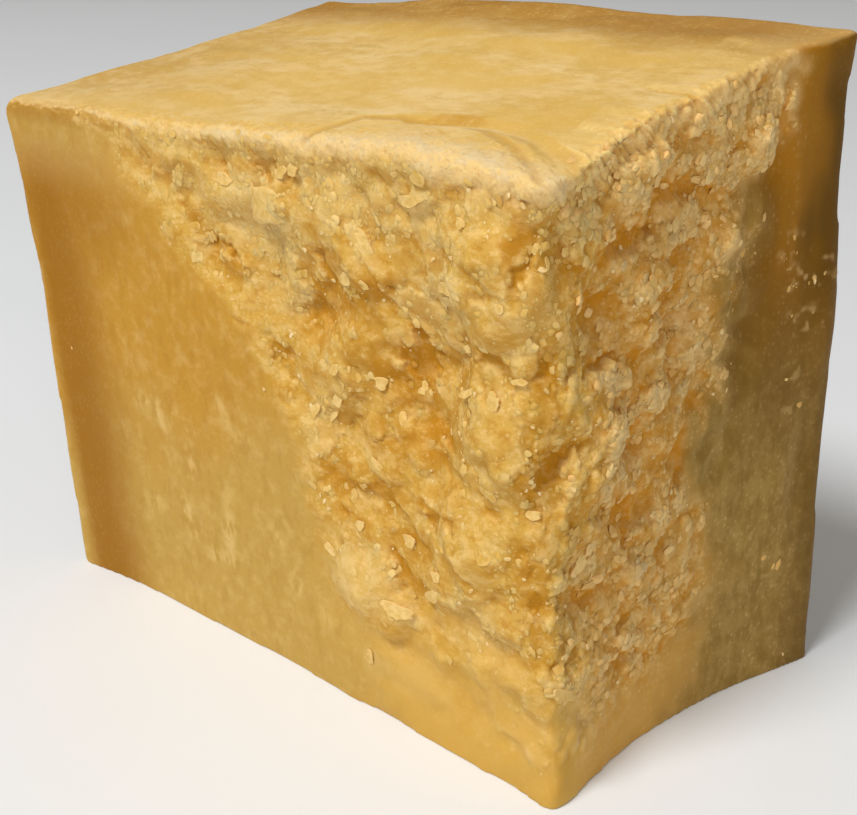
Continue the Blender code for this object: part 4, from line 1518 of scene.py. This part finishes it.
class CHEESE_OT_crystals(bpy.types.Operator):
    """Strews pale crystals and crumbs over the break"""

    bl_idname = "cheese.crystals"
    bl_label = "Crystals"

    def execute(self, context):
        def weight(u, z):
            patchy = CHART.read(CHART.zone, u, z) * ease(-0.3, 0.5, drift(u / 3.0, z / 3.0, 91))
            patchy = patchy * ease(0.5, 3.0, CHART.read(CHART.under, u, z))
            return 0.002 + patchy + 1.2 * CHART.read(CHART.smear, u, z) * ease(38.0, 42.0, u)

        tones = context.scene.cheese_colours
        material = chip_material("crystal_white", tones.flake, tones.crystal, tones.cream)
        homes = surface_homes(at_random(context.scene.cheese_flakes.crystals, weight, seed=41))
        scatter("pale_crystals", material, homes, one_crystal, seed=42)
        return {"FINISHED"}


def area_light(name, spot, size, power, colour):
    """A round soft light, aimed at the chunk."""
    light = bpy.data.lights.new(name, "AREA")
    light.shape = "DISK"
    light.size = size
    light.energy = power
    light.color = colour
    lamp = bpy.data.objects.new(name, light)
    lamp.location = spot
    aim = Vector(LIT_POINT) - Vector(spot)
    lamp.rotation_euler = aim.to_track_quat("-Z", "Y").to_euler()
    bpy.context.scene.collection.objects.link(lamp)


class CHEESE_OT_stage(bpy.types.Operator):
    """Puts down the floor, the lights and the camera"""

    bl_idname = "cheese.stage"
    bl_label = "Stage"

    def execute(self, context):
        scene = context.scene
        stage = scene.cheese_stage
        deselect()
        bpy.ops.mesh.primitive_plane_add(size=FLOOR_SIZE, location=(0.0, 0.0, 0.0))
        floor = context.active_object
        floor.name = "floor"
        floor.data.materials.append(floor_material())
        for light in LIGHTS:
            area_light(*light)
        world = bpy.data.worlds.new("studio")
        world.use_nodes = True
        room = world.node_tree.nodes["Background"]
        room.inputs["Color"].default_value = ROOM_COLOUR
        room.inputs["Strength"].default_value = ROOM_LIGHT
        scene.world = world
        scene.view_settings.view_transform = "Standard"
        lens = bpy.data.cameras.new("photo_camera")
        lens.lens = stage.lens
        lens.clip_start = NEAREST_SEEN
        camera = bpy.data.objects.new("photo_camera", lens)
        azimuth, elevation = stage.azimuth, stage.elevation
        flat = math.cos(elevation)
        back = Vector((math.sin(azimuth) * flat, -math.cos(azimuth) * flat, math.sin(elevation)))
        camera.location = CORNER + CAMERA_TARGET + back * stage.distance
        camera.rotation_euler = (math.pi / 2 - elevation, 0.0, azimuth)
        scene.collection.objects.link(camera)
        scene.camera = camera
        return {"FINISHED"}


class CHEESE_PT_panel(bpy.types.Panel):
    """Lists the steps that dress the chunk"""

    bl_idname = "CHEESE_PT_panel"
    bl_label = "Broken Hard Cheese"
    bl_space_type = "VIEW_3D"
    bl_region_type = "UI"
    bl_category = "Cheese"

    def draw(self, context):
        for step in STEPS:
            self.layout.operator(step.bl_idname)
        for group in GROUPS:
            for field in GROUPS[group].__annotations__:
                self.layout.prop(getattr(context.scene, group), field)


STEPS = (
    CHEESE_OT_body,
    CHEESE_OT_flakes,
    CHEESE_OT_grains,
    CHEESE_OT_knobs,
    CHEESE_OT_crystals,
    CHEESE_OT_stage,
)
GROUPS = {
    "cheese_relief": ReliefSettings,
    "cheese_colours": ColourSettings,
    "cheese_flakes": FlakeSettings,
    "cheese_stage": StageSettings,
}


def register():
    for name, group in GROUPS.items():
        bpy.utils.register_class(group)
        setattr(bpy.types.Scene, name, bpy.props.PointerProperty(type=group))
    for step in STEPS:
        bpy.utils.register_class(step)
    bpy.utils.register_class(CHEESE_PT_panel)


def unregister():
    bpy.utils.unregister_class(CHEESE_PT_panel)
    for step in reversed(STEPS):
        bpy.utils.unregister_class(step)
    for name, group in reversed(GROUPS.items()):
        delattr(bpy.types.Scene, name)
        bpy.utils.unregister_class(group)


def main():
    register()
    bpy.ops.cheese.body()
    bpy.ops.cheese.flakes()
    bpy.ops.cheese.grains()
    bpy.ops.cheese.knobs()
    bpy.ops.cheese.crystals()
    bpy.ops.cheese.stage()


if __name__ == "__main__":
    main()
